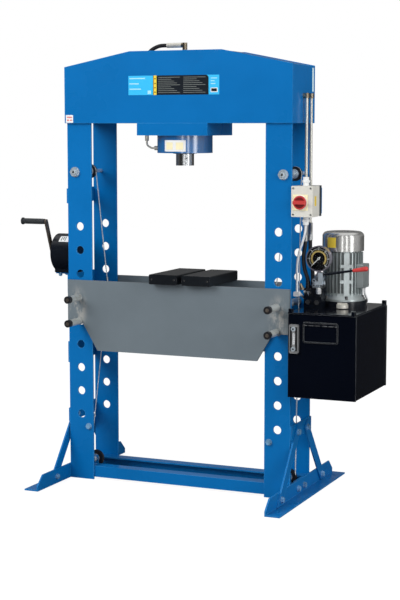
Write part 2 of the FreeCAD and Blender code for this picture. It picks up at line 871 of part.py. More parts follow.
def make_ropes():
    top_r = top_pulley_groove + rope_radius
    low_r = low_pulley_groove + rope_radius
    clamp_low_z = clamp_top_z - clamp_height - rope_clamp_gap

    exit_z = drum_z + rope_exit_rise
    x1, z1, a1 = touch_point(-rope_exit_x, exit_z, -top_pulley_x, top_pulley_z, top_r, -1)
    x2, z2, a2 = touch_point(-rope_clamp_x, clamp_top_z, -top_pulley_x, top_pulley_z, top_r, 1)
    a1 = a1 % (2 * math.pi)
    a2 = a2 % (2 * math.pi)
    if a2 > a1:
        a2 -= 2 * math.pi
    winch_edges = [straight(-rope_exit_x, exit_z, x1, z1), rope_arc(-top_pulley_x, top_pulley_z, top_r, a1, a2)]
    save("winch_rope", [rope_body("winch rope", winch_edges, V(x1 + rope_exit_x, 0, z1 - exit_z))])

    rope_end_z = clamp_top_z + rope_clamp_gap
    lift = rope_body("left lifting rope", [straight(x2, z2, -rope_clamp_x, rope_end_z)],
                     V(-rope_clamp_x - x2, 0, rope_end_z - z2))
    print("rope touches top", round(z2, 2))
    save("lift_rope_left", [lift])
    save("lift_rope_right", [mirrored_x(lift)])

    x3, z3, a3 = touch_point(-rope_clamp_x, clamp_low_z, -low_pulley_x, low_pulley_z, low_r, 1)
    back = rope_body("left return rope", [straight(-rope_clamp_x, clamp_low_z, x3, z3)],
                     V(x3 + rope_clamp_x, 0, z3 - clamp_low_z))
    print("rope touches bottom", round(z3, 2))
    save("return_rope_left", [back])

    # Outer tangent between the lower and the upper right pulleys.
    dx = top_pulley_x - low_pulley_x
    dz = top_pulley_z - low_pulley_z
    lean = math.asin((low_r - top_r) / math.hypot(dx, dz))
    normal = math.atan2(dz, dx) - math.pi / 2 + lean
    a3 = a3 % (2 * math.pi)
    x5 = low_pulley_x + low_r * math.cos(normal)
    z5 = low_pulley_z + low_r * math.sin(normal)
    x6 = top_pulley_x + top_r * math.cos(normal)
    z6 = top_pulley_z + top_r * math.sin(normal)
    inner = math.pi - a2
    cross_edges = [rope_arc(-low_pulley_x, low_pulley_z, low_r, a3, 1.5 * math.pi),
                   straight(-low_pulley_x, low_pulley_z - low_r, low_pulley_x, low_pulley_z - low_r),
                   rope_arc(low_pulley_x, low_pulley_z, low_r, -0.5 * math.pi, normal),
                   straight(x5, z5, x6, z6),
                   rope_arc(top_pulley_x, top_pulley_z, top_r, normal, inner)]
    start_dir = V(-math.sin(a3), 0, math.cos(a3))
    save("cross_rope", [rope_body("cross rope", cross_edges, start_dir)])


# ---- winch ----
def involute_gear(teeth, centre_y, centre_z, x0, x1, phase):
    pitch_r = gear_module * teeth / 2
    base_r = pitch_r * math.cos(math.radians(20))
    tip_r = pitch_r + 0.85 * gear_module
    root_r = pitch_r - 1.2 * gear_module
    half_tooth = 0.43 * math.pi / teeth

    def involute(radius):
        if radius <= base_r:
            return 0.0
        turn = math.acos(base_r / radius)
        return math.tan(turn) - turn

    at_pitch = involute(pitch_r)
    flank = []
    for radius in (root_r, max(base_r, root_r + 0.3), pitch_r, tip_r):
        flank.append((radius, half_tooth + at_pitch - involute(radius)))
    points = []
    for tooth in range(teeth):
        middle = phase + 2 * math.pi * tooth / teeth
        for radius, offset in flank:
            points.append((radius, middle - offset))
        for radius, offset in reversed(flank):
            points.append((radius, middle + offset))
    loop = [(centre_y + r * math.cos(a), centre_z + r * math.sin(a)) for r, a in points]
    return prism_yz(loop, x0, x1)


def wound_rope(x_start, half_turns, pitch):
    # Two equal arcs per half turn, tangent to a helix round the drum.
    radius = drum_rope_radius
    rise = pitch / (2 * math.pi)

    def place(angle):
        return V(x_start + rise * angle, winch_y + radius * math.cos(angle), drum_z + radius * math.sin(angle))

    def heading(angle):
        result = V(rise, -radius * math.sin(angle), radius * math.cos(angle))
        result.normalize()
        return result

    end_angle = half_turns * math.pi
    start_angle = 0.0
    count = half_turns * 2
    step = (end_angle - start_angle) / count
    edges = []
    first = place(start_angle)
    edges.append(Part.LineSegment(first - heading(start_angle) * 2 * rope_radius, first).toShape())
    for index in range(count):
        p0 = place(start_angle + index * step)
        p1 = place(start_angle + (index + 1) * step)
        t0 = heading(start_angle + index * step)
        t1 = heading(start_angle + (index + 1) * step)
        gap = p1 - p0
        both = t0 + t1
        a = both.dot(both) - 4
        b = -2 * gap.dot(both)
        c = gap.dot(gap)
        reach = (-b - math.sqrt(b * b - 4 * a * c)) / (2 * a)
        if reach < 0:
            reach = (-b + math.sqrt(b * b - 4 * a * c)) / (2 * a)
        q0 = p0 + t0 * reach
        q1 = p1 - t1 * reach
        joint = (q0 + q1) * 0.5
        edges.append(bend_edge(p0, q0, joint)[0])
        edges.append(bend_edge(joint, q1, p1)[0])
    last = place(end_angle)
    edges.append(Part.LineSegment(last, last + heading(end_angle) * 2 * rope_radius).toShape())
    body = sweep(edges, first - heading(start_angle) * 2 * rope_radius, heading(start_angle), rope_radius)
    length = sum(edge.Length for edge in edges)
    ideal = math.pi * rope_radius ** 2 * length
    least = 1e9
    for turn in range(24):
        angle = turn * math.pi / 12
        if angle + 2 * math.pi <= end_angle:
            near = (place(angle + 2 * math.pi) - place(angle)).Length - 2 * rope_radius
            least = min(least, near)
    print("wound rope length", round(length), "least gap", round(least, 2),
          "volume ratio", round(body.Volume / ideal, 4))
    return body


def make_winch():
    leg = box(-post_outer_x, -tie_outer_x, -winch_leg_half, winch_leg_half,
              winch_base_z - winch_leg_drop, winch_base_z)
    shelf = box(-post_outer_x, -post_outer_x - winch_plate_reach, winch_y + 20 - winch_plate_half,
                winch_y + 20 + winch_plate_half, winch_plate_z, winch_base_z)
    bracket = fuse([leg, shelf])

    outer = fuse([rod_x(-winch_outer_x, -winch_inner_x, winch_y, winch_z, winch_radius),
                  box(-winch_outer_x, -winch_inner_x, winch_y - winch_base_half, winch_y + winch_base_half,
                      winch_base_z, winch_z - winch_radius / 2)])
    below = box(-winch_outer_x - 1, -winch_inner_x + 1, winch_y - 200, winch_y + 200,
                winch_base_z - 100, winch_base_z)
    outer = outer.cut(below)
    x0 = -winch_outer_x + winch_wall
    x1 = -winch_inner_x - winch_wall
    inner = fuse([rod_x(x0, x1, winch_y, winch_z, winch_radius - winch_wall),
                  box(x0, x1, winch_y - winch_base_half + winch_wall, winch_y + winch_base_half - winch_wall,
                      winch_base_z + winch_wall, winch_z - winch_radius / 2)])
    floor_cut = box(x0 - 1, x1 + 1, winch_y - 200, winch_y + 200, winch_base_z - 100, winch_base_z + winch_wall)
    housing = outer.cut(inner.cut(floor_cut))
    slot = box(-rope_exit_x - rope_slot_half, -rope_exit_x + rope_slot_half * 2,
               rope_y - rope_slot_half, rope_y + rope_slot_half, winch_z, winch_z + winch_radius)
    housing = housing.cut(slot)
    housing = housing.cut(rod_x(-winch_outer_x - 1, x0 + 1, pinion_y, pinion_z,
                                crank_shaft_radius + running_clearance))
    housing = housing.cut(rod_x(x1 - 1, -winch_inner_x + 1, pinion_y, pinion_z,
                                crank_shaft_radius + running_clearance))
    axle_tool = rod_x(-winch_outer_x - 1, -winch_inner_x + 1, winch_y, drum_z, axle_radius + nut_thread_gap)
    housing = housing.cut(axle_tool)
    for x in (winch_inner_x + 20, winch_outer_x - 20):
        for turn in (-1, 1):
            point = V(-x, winch_y + turn * winch_bolt_spread, winch_base_z + winch_wall)
            hole = bolt_hole(point, V(0, 0, 1), winch_wall + winch_plate_thickness, bolt_radius * 0.8)
            housing = housing.cut(hole)
            bracket = bracket.cut(hole)
    save("winch_bracket", [bracket])
    drum_axle = rod_x(-winch_outer_x - 8, -winch_inner_x, winch_y, drum_z, axle_radius)
    axle_cap = hexagon(V(-winch_outer_x - 6, winch_y, drum_z), V(-winch_outer_x, winch_y, drum_z),
                       bolt_head_radius)
    save("winch_housing", [housing, fuse([drum_axle, axle_cap])])

    bore = rod_x(-winch_outer_x, -winch_inner_x, winch_y, drum_z, axle_radius + running_clearance)
    drum_x1 = -winch_inner_x - winch_wall - drum_side_gap
    wound_end = -rope_exit_x
    wound_start = wound_end - rope_pitch * rope_half_turns / 2
    flange_x = gear_inner_x - 2
    drum = fuse([rod_x(-gear_outer_x, drum_x1, winch_y, drum_z, drum_core_radius),
                 rod_x(-flange_x, -flange_x + drum_flange_thickness, winch_y, drum_z, drum_flange_radius),
                 rod_x(drum_x1 - drum_flange_thickness, drum_x1, winch_y, drum_z, drum_flange_radius),
                 involute_gear(drum_teeth, winch_y, drum_z, -gear_outer_x, -gear_inner_x, mesh_phase())])
    wound = wound_rope(wound_start, rope_half_turns, rope_pitch)
    save("winch_drum", [drum.cut(bore), wound])

    # The lower end of the arm is set inwards, close to the housing.
    low_x = crank_set - crank_arm_x
    low_far = low_x - crank_arm_thickness
    x_far = -crank_arm_x - crank_arm_thickness
    shaft_end = low_far - 12
    along = V(0, crank_grip_y - pinion_y, crank_grip_z - pinion_z)
    reach = along.Length
    half = crank_arm_width / 2
    bar = prism_xz([(low_x, 0), (low_x, crank_set_low), (-crank_arm_x, crank_set_high), (-crank_arm_x, reach),
                    (x_far, reach), (x_far, crank_set_high), (low_far, crank_set_low), (low_far, 0)],
                   -half, half)
    bar.rotate(V(0, 0, 0), V(1, 0, 0), math.degrees(math.atan2(-along.y, along.z)))
    bar.translate(V(0, pinion_y, pinion_z))
    arm = fuse([bar, rod_x(low_x, low_far, pinion_y, pinion_z, half),
                rod_x(-crank_arm_x, x_far, crank_grip_y, crank_grip_z, half)])
    shaft = rod_x(shaft_end, -winch_inner_x, pinion_y, pinion_z, crank_shaft_radius)
    hub = rod_x(-winch_outer_x - 4, low_x, pinion_y, pinion_z, crank_shaft_radius + 5)
    nut = hexagon(V(shaft_end + 2, pinion_y, pinion_z), V(low_far, pinion_y, pinion_z), crank_shaft_radius + 5)
    gear = involute_gear(pinion_teeth, pinion_y, pinion_z, -gear_outer_x, -gear_inner_x, pinion_phase())
    grip_x0 = x_far - 2
    grip_x1 = grip_x0 - crank_grip_length
    pin = rod_x(grip_x1 + 4, x_far, crank_grip_y, crank_grip_z, crank_grip_pin_radius)
    save("crank_arm", [fuse([arm, shaft, hub, nut, gear, pin])])

    grip = fuse([rod_x(grip_x1, grip_x0, crank_grip_y, crank_grip_z, crank_grip_radius),
                 rod_x(grip_x1 - crank_grip_flange, grip_x1, crank_grip_y, crank_grip_z,
                       crank_grip_flange_radius)])
    grip_bore = rod_x(grip_x1 + 3, grip_x0 + 1, crank_grip_y, crank_grip_z,
                      crank_grip_pin_radius + running_clearance)
    save("crank_grip", [grip.cut(grip_bore)])


def mesh_phase():
    # A gap of the drum gear faces the pinion.
    toward = math.atan2(pinion_z - drum_z, pinion_y - winch_y)
    return toward + math.pi / drum_teeth


def pinion_phase():
    # A tooth of the pinion faces the drum.
    return math.atan2(drum_z - pinion_z, winch_y - pinion_y)


# ---- table ----
def table_plate(side):
    ear_z = lower_pin_z - table_ear_drop
    outline = [(-table_half_length, table_top_z), (table_half_length, table_top_z),
               (table_half_length, ear_z), (table_ear_x, ear_z), (table_bottom_x, table_bottom_z),
               (-table_bottom_x, table_bottom_z), (-table_ear_x, ear_z), (-table_half_length, ear_z)]
    body = prism_xz(outline, side * table_inner_y, side * table_outer_y)
    for end in (-1, 1):
        for z in (upper_pin_z, lower_pin_z):
            body = body.cut(rod_y(end * pin_x, side * (table_inner_y - 1), side * (table_outer_y + 1), z,
                                  pin_radius + pin_table_gap))
        # The ears sit on the lower pins with saddles that are open downwards.
        half = pin_radius + pin_table_gap
        body = body.cut(box(end * pin_x - half, end * pin_x + half, side * (table_inner_y - 1),
                            side * (table_outer_y + 1), ear_z - 1, lower_pin_z))
    return body


def rope_clamp(side):
    z0 = clamp_top_z - clamp_height
    body = box(side * clamp_x, side * (clamp_x + clamp_depth), rope_y - clamp_half_width,
               rope_y + clamp_half_width, z0, clamp_top_z)
    return body


def make_table():
    save("table_front_plate", [table_plate(-1)])
    save("table_rear_plate", [table_plate(1)])
    pieces = []
    for side in (-1, 1):
        x0 = side * (cross_plate_x - cross_plate_thickness / 2)
        x1 = side * (cross_plate_x + cross_plate_thickness / 2)
        z1 = table_top_z - clamp_drop
        plate = box(x0, x1, -table_inner_y, table_inner_y, z1 - cross_plate_height, z1)
        pieces.append(plate)
        pieces.append(rope_clamp(side))
    save("table_cross_plates", pieces)


def lock_pin(side, z):
    body = rod_y(side * pin_x, pin_front_y, pin_rear_y, z, pin_radius)
    body = body.makeChamfer(2, [body.Edges[0]])
    cap = rod_y(side * pin_x, pin_front_y - pin_cap_length, pin_front_y, z, pin_cap_radius)
    return [body, cap]


def make_pins():
    for side, name in ((-1, "left"), (1, "right")):
        save("pin_upper_" + name, lock_pin(side, upper_pin_z))
        save("pin_lower_" + name, lock_pin(side, lower_pin_z))


def press_block(x0):
    body = rounded_box(x0, x0 + block_length, block_front_y, block_rear_y,
                       table_top_z, table_top_z + block_height, block_corner, V(0, 1, 0))
    for x in (x0 + 12, x0 + block_length - 12):
        z = table_top_z + block_height / 2
        body = body.cut(rod_y(x, block_front_y - 1, block_front_y + 10, z, block_dowel_radius))
    return body


def make_blocks():
    save("press_block_left", [press_block(block_left_x)])
    save("press_block_right", [press_block(block_right_x)])


# ---- power unit ----
def make_tank():
    x0 = tank_x
    x1 = tank_x + tank_length
    outer = box(x0, x1, tank_front_y, tank_rear_y, tank_bottom_z, lid_bottom_z)
    inner = box(x0 + tank_wall, x1 - tank_wall, tank_front_y + tank_wall, tank_rear_y - tank_wall,
                tank_bottom_z + tank_wall, lid_bottom_z + 1)
    panel = rounded_box(x0 + panel_x, x0 + panel_x + panel_length, tank_front_y - panel_depth, tank_front_y,
                        panel_z, panel_z + panel_height, 10, V(0, 1, 0))
    recess = rounded_box(x0 + panel_x + panel_rim, x0 + panel_x + panel_length - panel_rim,
                         tank_front_y - panel_depth - 1, tank_front_y - panel_depth / 4,
                         panel_z + panel_rim, panel_z + panel_height - panel_rim, 6, V(0, 1, 0))
    rim = panel.cut(recess)
    lips = []
    for y0 in (tank_front_y, tank_rear_y - 8):
        lips.append(box(x1, x1 + 4, y0, y0 + 8, tank_bottom_z, lid_bottom_z))
    save("tank_body", [fuse([outer.cut(inner), rim] + lips)])

    lid = box(x0, x1, tank_front_y - 4, tank_rear_y + 4, lid_bottom_z, lid_top_z)
    lugs = []
    for y0 in (tank_front_y - 4, tank_rear_y + 4 - lid_lug_length):
        for x in (x0 + 2, x1 - lid_lug_length):
            lugs.append(box(x, x + lid_lug_length, y0, y0 + lid_lug_length, lid_top_z,
                            lid_top_z + lid_lug_height))
    neck = rod_z(filler_x, filler_y, lid_top_z, lid_top_z + filler_neck_height, filler_neck_radius)
    lid = fuse([lid, neck] + lugs)
    lid = lid.cut(rod_z(filler_x, filler_y, lid_bottom_z - 1, lid_top_z + filler_neck_height + 1,
                        filler_neck_radius - 3))
    lid = lid.cut(rod_z(motor_x, motor_y, lid_bottom_z - 1, lid_top_z + 1, pump_radius - 10))
    save("tank_lid", [lid])

    cap = rod_z(filler_x, filler_y, lid_top_z + 3, lid_top_z + 3 + filler_height, filler_radius)
    hollow = rod_z(filler_x, filler_y, lid_top_z + 2, lid_top_z + filler_neck_height + 2,
                   filler_neck_radius + running_clearance)
    wing_z = lid_top_z + 3 + filler_height
    wing = box(filler_x - filler_radius + 4, filler_x + filler_radius - 4, filler_y - 3, filler_y + 3,
               wing_z - 1, wing_z + 7)
    save("filler_cap", [fuse([cap.cut(hollow), wing])])

    sight_y = tank_front_y - sight_depth
    frame = rounded_box(x0 + sight_x, x0 + sight_x + sight_width, sight_y, tank_front_y,
                        sight_z, sight_z + sight_height, 7, V(0, 1, 0))
    slot = rounded_box(x0 + sight_x + 13, x0 + sight_x + sight_width - 13, sight_y - 1, tank_front_y - 5,
                       sight_z + 32, sight_z + sight_height - 32, 5, V(0, 1, 0))
    frame = frame.cut(slot)
    middle = x0 + sight_x + sight_width / 2
    for z in (sight_z + 18, sight_z + sight_height - 18):
        frame = fuse([frame, rod_y(middle, sight_y - 6, sight_y, z, sight_bolt_radius)])
    save("sight_glass", [frame])


def make_motor():
    flange = rod_z(motor_x, motor_y, lid_top_z, motor_body_z, motor_flange_radius)
    parts = [flange, rod_z(motor_x, motor_y, motor_body_z, motor_top_z, motor_body_radius)]
    for index in range(motor_fin_count):
        angle = 360 * index / motor_fin_count
        fin = box(motor_body_radius - 3, motor_fin_radius, -motor_fin_width / 2, motor_fin_width / 2,
                  motor_body_z, motor_top_z - 6)
        fin.rotate(V(0, 0, 0), V(0, 0, 1), angle)
        fin.translate(V(motor_x, motor_y, 0))
        parts.append(fin)
    # The end shield flares out towards the flange.
    rim_top = motor_body_z + shield_rim_height
    parts.append(rod_z(motor_x, motor_y, motor_body_z, rim_top, shield_radius))
    parts.append(Part.makeCone(shield_radius, motor_body_radius, shield_height - shield_rim_height,
                               V(motor_x, motor_y, rim_top), V(0, 0, 1)))
    # A smooth rib with two cross pads breaks the row of fins at the front.
    rib = box(motor_body_radius - 8, rib_radius, -rib_half_width, rib_half_width, motor_body_z + 4,
              motor_top_z - 6)
    pads = [box(motor_body_radius - 8, rib_radius, -pad_half_width, pad_half_width, z - pad_height / 2,
                z + pad_height / 2) for z in (pad_low_z, pad_high_z)]
    for piece in [rib] + pads:
        piece.rotate(V(0, 0, 0), V(0, 0, 1), rib_angle)
        piece.translate(V(motor_x, motor_y, 0))
        parts.append(piece)
    box_x = motor_x + motor_body_radius - 4
    terminal = rounded_box(box_x, motor_x + motor_fin_radius + terminal_depth,
                           motor_y - terminal_width / 2, motor_y + terminal_width / 2,
                           lid_top_z + terminal_low_z, lid_top_z + terminal_low_z + terminal_height,
                           6, V(1, 0, 0))
    parts.append(terminal)
    body = fuse(parts)
    bore = rod_z(motor_x, motor_y, lid_top_z + bearing_plate, motor_top_z - bearing_plate, motor_bore_radius)
    shaft = rod_z(motor_x, motor_y, lid_top_z - 1, motor_top_z + 1, shaft_radius + running_clearance)
    save("motor_body", [body.cut(bore).cut(shaft)])

    cover = rod_z(motor_x, motor_y, motor_top_z, fan_cover_top, fan_cover_radius)
    top_edge = [edge for edge in cover.Edges if edge.BoundBox.ZMin > fan_cover_top - 0.1]
    cover = cover.makeFillet(fan_cover_round, top_edge)
    hollow = rod_z(motor_x, motor_y, motor_top_z - 1, fan_cover_top - fan_cover_wall,
                   fan_cover_radius - fan_cover_wall)
    hollow_edge = [edge for edge in hollow.Edges if edge.BoundBox.ZMin > fan_cover_top - fan_cover_wall - 0.1]
    hollow = hollow.makeFillet(fan_cover_round - fan_cover_wall, hollow_edge)
    cover = cover.cut(hollow)
    slots = []
    for index in range(fan_slot_count):
        slot = box(24, fan_cover_radius - fan_cover_round - 4, -4, 4, fan_cover_top - 10, fan_cover_top + 1)
        slot.rotate(V(0, 0, 0), V(0, 0, 1), 360 * index / fan_slot_count + 15)
        slot.translate(V(motor_x, motor_y, 0))
        slots.append(slot)
    save("fan_cover", [cover.cut(Part.makeCompound(slots))])

    pump_top = lid_bottom_z
    pump_bottom = pump_top - pump_length
    fan_z = motor_top_z + 12
    shaft_body = rod_z(motor_x, motor_y, pump_bottom + 20, fan_z + fan_height, shaft_radius)
    core_z = (lid_top_z + motor_top_z) / 2
    core = rod_z(motor_x, motor_y, core_z - rotor_length / 2, core_z + rotor_length / 2, rotor_radius)
    fan = [rod_z(motor_x, motor_y, fan_z, fan_z + 4, fan_radius),
           rod_z(motor_x, motor_y, fan_z, fan_z + fan_height, shaft_radius + 8)]
    for index in range(6):
        blade = box(shaft_radius, fan_radius, -1.5, 1.5, fan_z, fan_z + fan_height)
        blade.rotate(V(0, 0, 0), V(0, 0, 1), 60 * index)
        blade.translate(V(motor_x, motor_y, 0))
        fan.append(blade)
    save("motor_rotor", [fuse([shaft_body, core] + fan)])

    pump = rod_z(motor_x, motor_y, pump_bottom, pump_top, pump_radius)
    pump = pump.cut(rod_z(motor_x, motor_y, pump_bottom + 18, pump_top + 1, shaft_radius + running_clearance))
    suction = rod_z(motor_x, motor_y, tank_bottom_z + tank_wall + suction_bottom_gap, pump_bottom,
                    suction_radius)
    save("oil_pump", [fuse([pump, suction])])


def make_valve():
    x0 = valve_x
    x1 = valve_x + valve_length
    y0 = valve_front_y
    y1 = valve_front_y + valve_depth
    block = box(x0, x1, y0, y1, lid_top_z, valve_top_z)
    block = fuse([block, box(x0, x0 + valve_rear_length, y1 - 1, y1 + valve_rear_depth,
                             lid_top_z, valve_top_z)])
    plugs = []
    for x, z in ((x0 + 20, 24), (x0 + 58, 24), (x0 + 20, 58)):
        plugs.append(hexagon(V(x, y0, lid_top_z + z), V(x, y0 - 9, lid_top_z + z), 11))
    # A round setting knob stands on a ledge at the front right.
    knob_centre = x0 + valve_knob_x
    ledge = box(knob_centre - 8, knob_centre + 8, y0 - 17, y0 + 1, lid_top_z + valve_knob_low - 12,
                lid_top_z + valve_knob_low)
    knob = rod_z(knob_centre, y0 - 9, lid_top_z + valve_knob_low,
                 lid_top_z + valve_knob_low + valve_knob_height, valve_knob_radius)
    save("valve_block", [fuse([block, ledge, knob] + plugs)])

    sx0 = stack_x - stack_half
    sx1 = stack_x + stack_half
    low = box(sx0, sx1, stack_y - stack_half + 4, stack_y + stack_half, lid_top_z + valve_height,
              stack_top_z - 22)
    neck = rod_z(stack_x, stack_y, stack_top_z - 22, stack_top_z, 14)
    collar = hexagon(V(stack_x, stack_y, stack_top_z - 16), V(stack_x, stack_y, stack_top_z - 6), 19)
    # The lever's fork is carried at the front of the stack and holds a plug at its right end.
    fork_y0 = lever_y - lever_radius - 6
    fork_low = valve_top_z + fork_rise
    fork_right = lever_pivot_x + 9
    fork = box(stack_x, fork_right, fork_y0, stack_y - stack_half + 7, fork_low, fork_low + fork_thickness)
    plug_z = fork_low + fork_thickness / 2
    plug_right = hexagon(V(fork_right, lever_y, plug_z), V(fork_right + 7, lever_y, plug_z), 7.5)
    cheeks = []
    for turn in (-1, 1):
        near = lever_y + turn * (lever_radius + 2)
        cheeks.append(box(lever_pivot_x - 9, fork_right, near, near + turn * 5, fork_low, lever_pivot_z + 9))
    pin = rod_y(lever_pivot_x, lever_y - lever_radius - 8, lever_y + lever_radius + 8, lever_pivot_z,
                lever_pin_radius)
    save("valve_stack", [fuse([low, neck, collar, plug_right, fork, pin] + cheeks)])

    angle = math.radians(lever_rise_angle)
    pivot = V(lever_pivot_x, lever_y, lever_pivot_z)
    along = V(math.cos(angle), 0, math.sin(angle))
    eye = rod_y(lever_pivot_x, lever_y - lever_radius - 1, lever_y + lever_radius + 1, lever_pivot_z,
                lever_eye_radius)
    grip_start = pivot + along * (lever_reach - lever_grip_length)
    grip_end = pivot + along * lever_reach
    stem = rod(pivot + along * (lever_pin_radius + 2), grip_start + along * 5, lever_radius)
    grip = Part.makeCone(lever_grip_radius * 0.7, lever_grip_radius, lever_grip_length, grip_start, along)
    tip = Part.makeSphere(lever_grip_radius, grip_end - along * 1)
    lever = fuse([eye, stem, grip, tip])
    lever = lever.cut(rod_y(lever_pivot_x, lever_y - 20, lever_y + 20, lever_pivot_z,
                            lever_pin_radius + running_clearance))
    save("valve_lever", [lever])


def make_gauge():
    y0 = gauge_front_y
    y1 = gauge_front_y + gauge_depth
    case = rod_y(gauge_x, y0, y1, gauge_z, gauge_radius)
    recess = rod_y(gauge_x, y0 - 1, y0 + gauge_recess, gauge_z, gauge_radius - gauge_rim)
    stem_y = y0 + gauge_depth / 2 + 4
    stem = rod_z(gauge_x, stem_y, stack_top_z, gauge_z - gauge_radius + 6, 7)
    nut = hexagon(V(gauge_x, stem_y, stack_top_z), V(gauge_x, stem_y, stack_top_z + 9), 11)
    spindle = rod_y(gauge_x, y0 + gauge_recess - 4, y0 + gauge_recess, gauge_z, needle_pin_radius)
    body = fuse([case.cut(recess), stem, nut])
    body = fuse([body, spindle])
    save("gauge_case", [body])

    glass_y = y0 + 1
    glass = rod_y(gauge_x, glass_y, glass_y + gauge_glass_thickness, gauge_z, gauge_radius - gauge_rim)
    save("gauge_glass", [glass])

    needle_y = y0 + gauge_recess - 2.5
    half = needle_width / 2
    outline = [(-half, -10), (half, -10), (half * 0.6, needle_length), (-half * 0.6, needle_length)]
    needle = prism_xz([(gauge_x + x, gauge_z + z) for x, z in outline], needle_y, needle_y + needle_thickness)
    hub = rod_y(gauge_x, needle_y, needle_y + needle_thickness, gauge_z, needle_pin_radius + 2.5)
    needle = fuse([needle, hub])
    needle.rotate(V(gauge_x, needle_y, gauge_z), V(0, 1, 0), -135)
    needle = needle.cut(rod_y(gauge_x, needle_y - 2, needle_y + 3, gauge_z,
                              needle_pin_radius + running_clearance))
    save("gauge_needle", [needle])


# ---- main switch ----
def make_switch():
    base = box(switch_inner_x, switch_outer_x, switch_split_y, switch_back_y, switch_bottom_z, switch_top_z)
    base = base.cut(box(switch_inner_x + switch_wall, switch_outer_x - switch_wall, switch_split_y - 1,
                        switch_back_y - switch_wall, switch_bottom_z + switch_wall, switch_top_z - switch_wall))
    pieces = [base]
    for z0, z1 in ((switch_top_z, switch_top_z + gland_length), (switch_bottom_z - gland_length, switch_bottom_z)):
        middle = (z0 + z1) / 2
        gland = fuse([rod_z(gland_x, gland_y, z0, z1, gland_radius),
                      hexagon(V(gland_x, gland_y, middle - 5), V(gland_x, gland_y, middle + 5),
                              gland_radius + 4)])
        pieces.append(gland.cut(rod_z(gland_x, gland_y, z0 - 1, z1 + 1, gland_bore_radius)))
    save("switch_box", pieces)

    body = box(switch_inner_x, switch_outer_x, switch_front_y, switch_split_y, switch_bottom_z, switch_top_z)
    body = body.cut(box(switch_inner_x + switch_wall, switch_outer_x - switch_wall, switch_front_y - 1,
                        switch_split_y + 1, switch_bottom_z + switch_wall, switch_top_z - switch_wall))
    lid = rounded_box(switch_lid_x, switch_outer_x, switch_lid_y, switch_front_y, switch_bottom_z,
                      switch_top_z, 4, V(0, 1, 0))
    plate = box(knob_x - knob_plate_half, knob_x + knob_plate_half, switch_lid_y - knob_plate_thickness,
                switch_lid_y, knob_z - knob_plate_half, knob_z + knob_plate_half)
    screws = []
    for x in (switch_lid_x + 8, switch_outer_x - 8):
        for z in (switch_bottom_z + 9, switch_top_z - 9):
            screws.append(rod_y(x, switch_lid_y - 1.5, switch_lid_y, z, 3.5))
    cover = fuse([body, lid, plate] + screws)
    cover = cover.cut(rod_y(knob_x, switch_lid_y - 20, switch_front_y + 1, knob_z,
                            knob_spindle_radius + running_clearance))
    save("switch_cover", [cover])

    face_y = switch_lid_y - knob_plate_thickness - 0.3
    disc = rod_y(knob_x, face_y - knob_disc, face_y, knob_z, knob_radius)
    bar = box(knob_x - knob_radius + 2, knob_x + knob_radius - 2, face_y - knob_disc - knob_grip,
              face_y - knob_disc, knob_z - 6, knob_z + 6)
    spindle = rod_y(knob_x, face_y, switch_front_y + 10, knob_z, knob_spindle_radius)
    save("switch_knob", [fuse([disc, bar, spindle])])


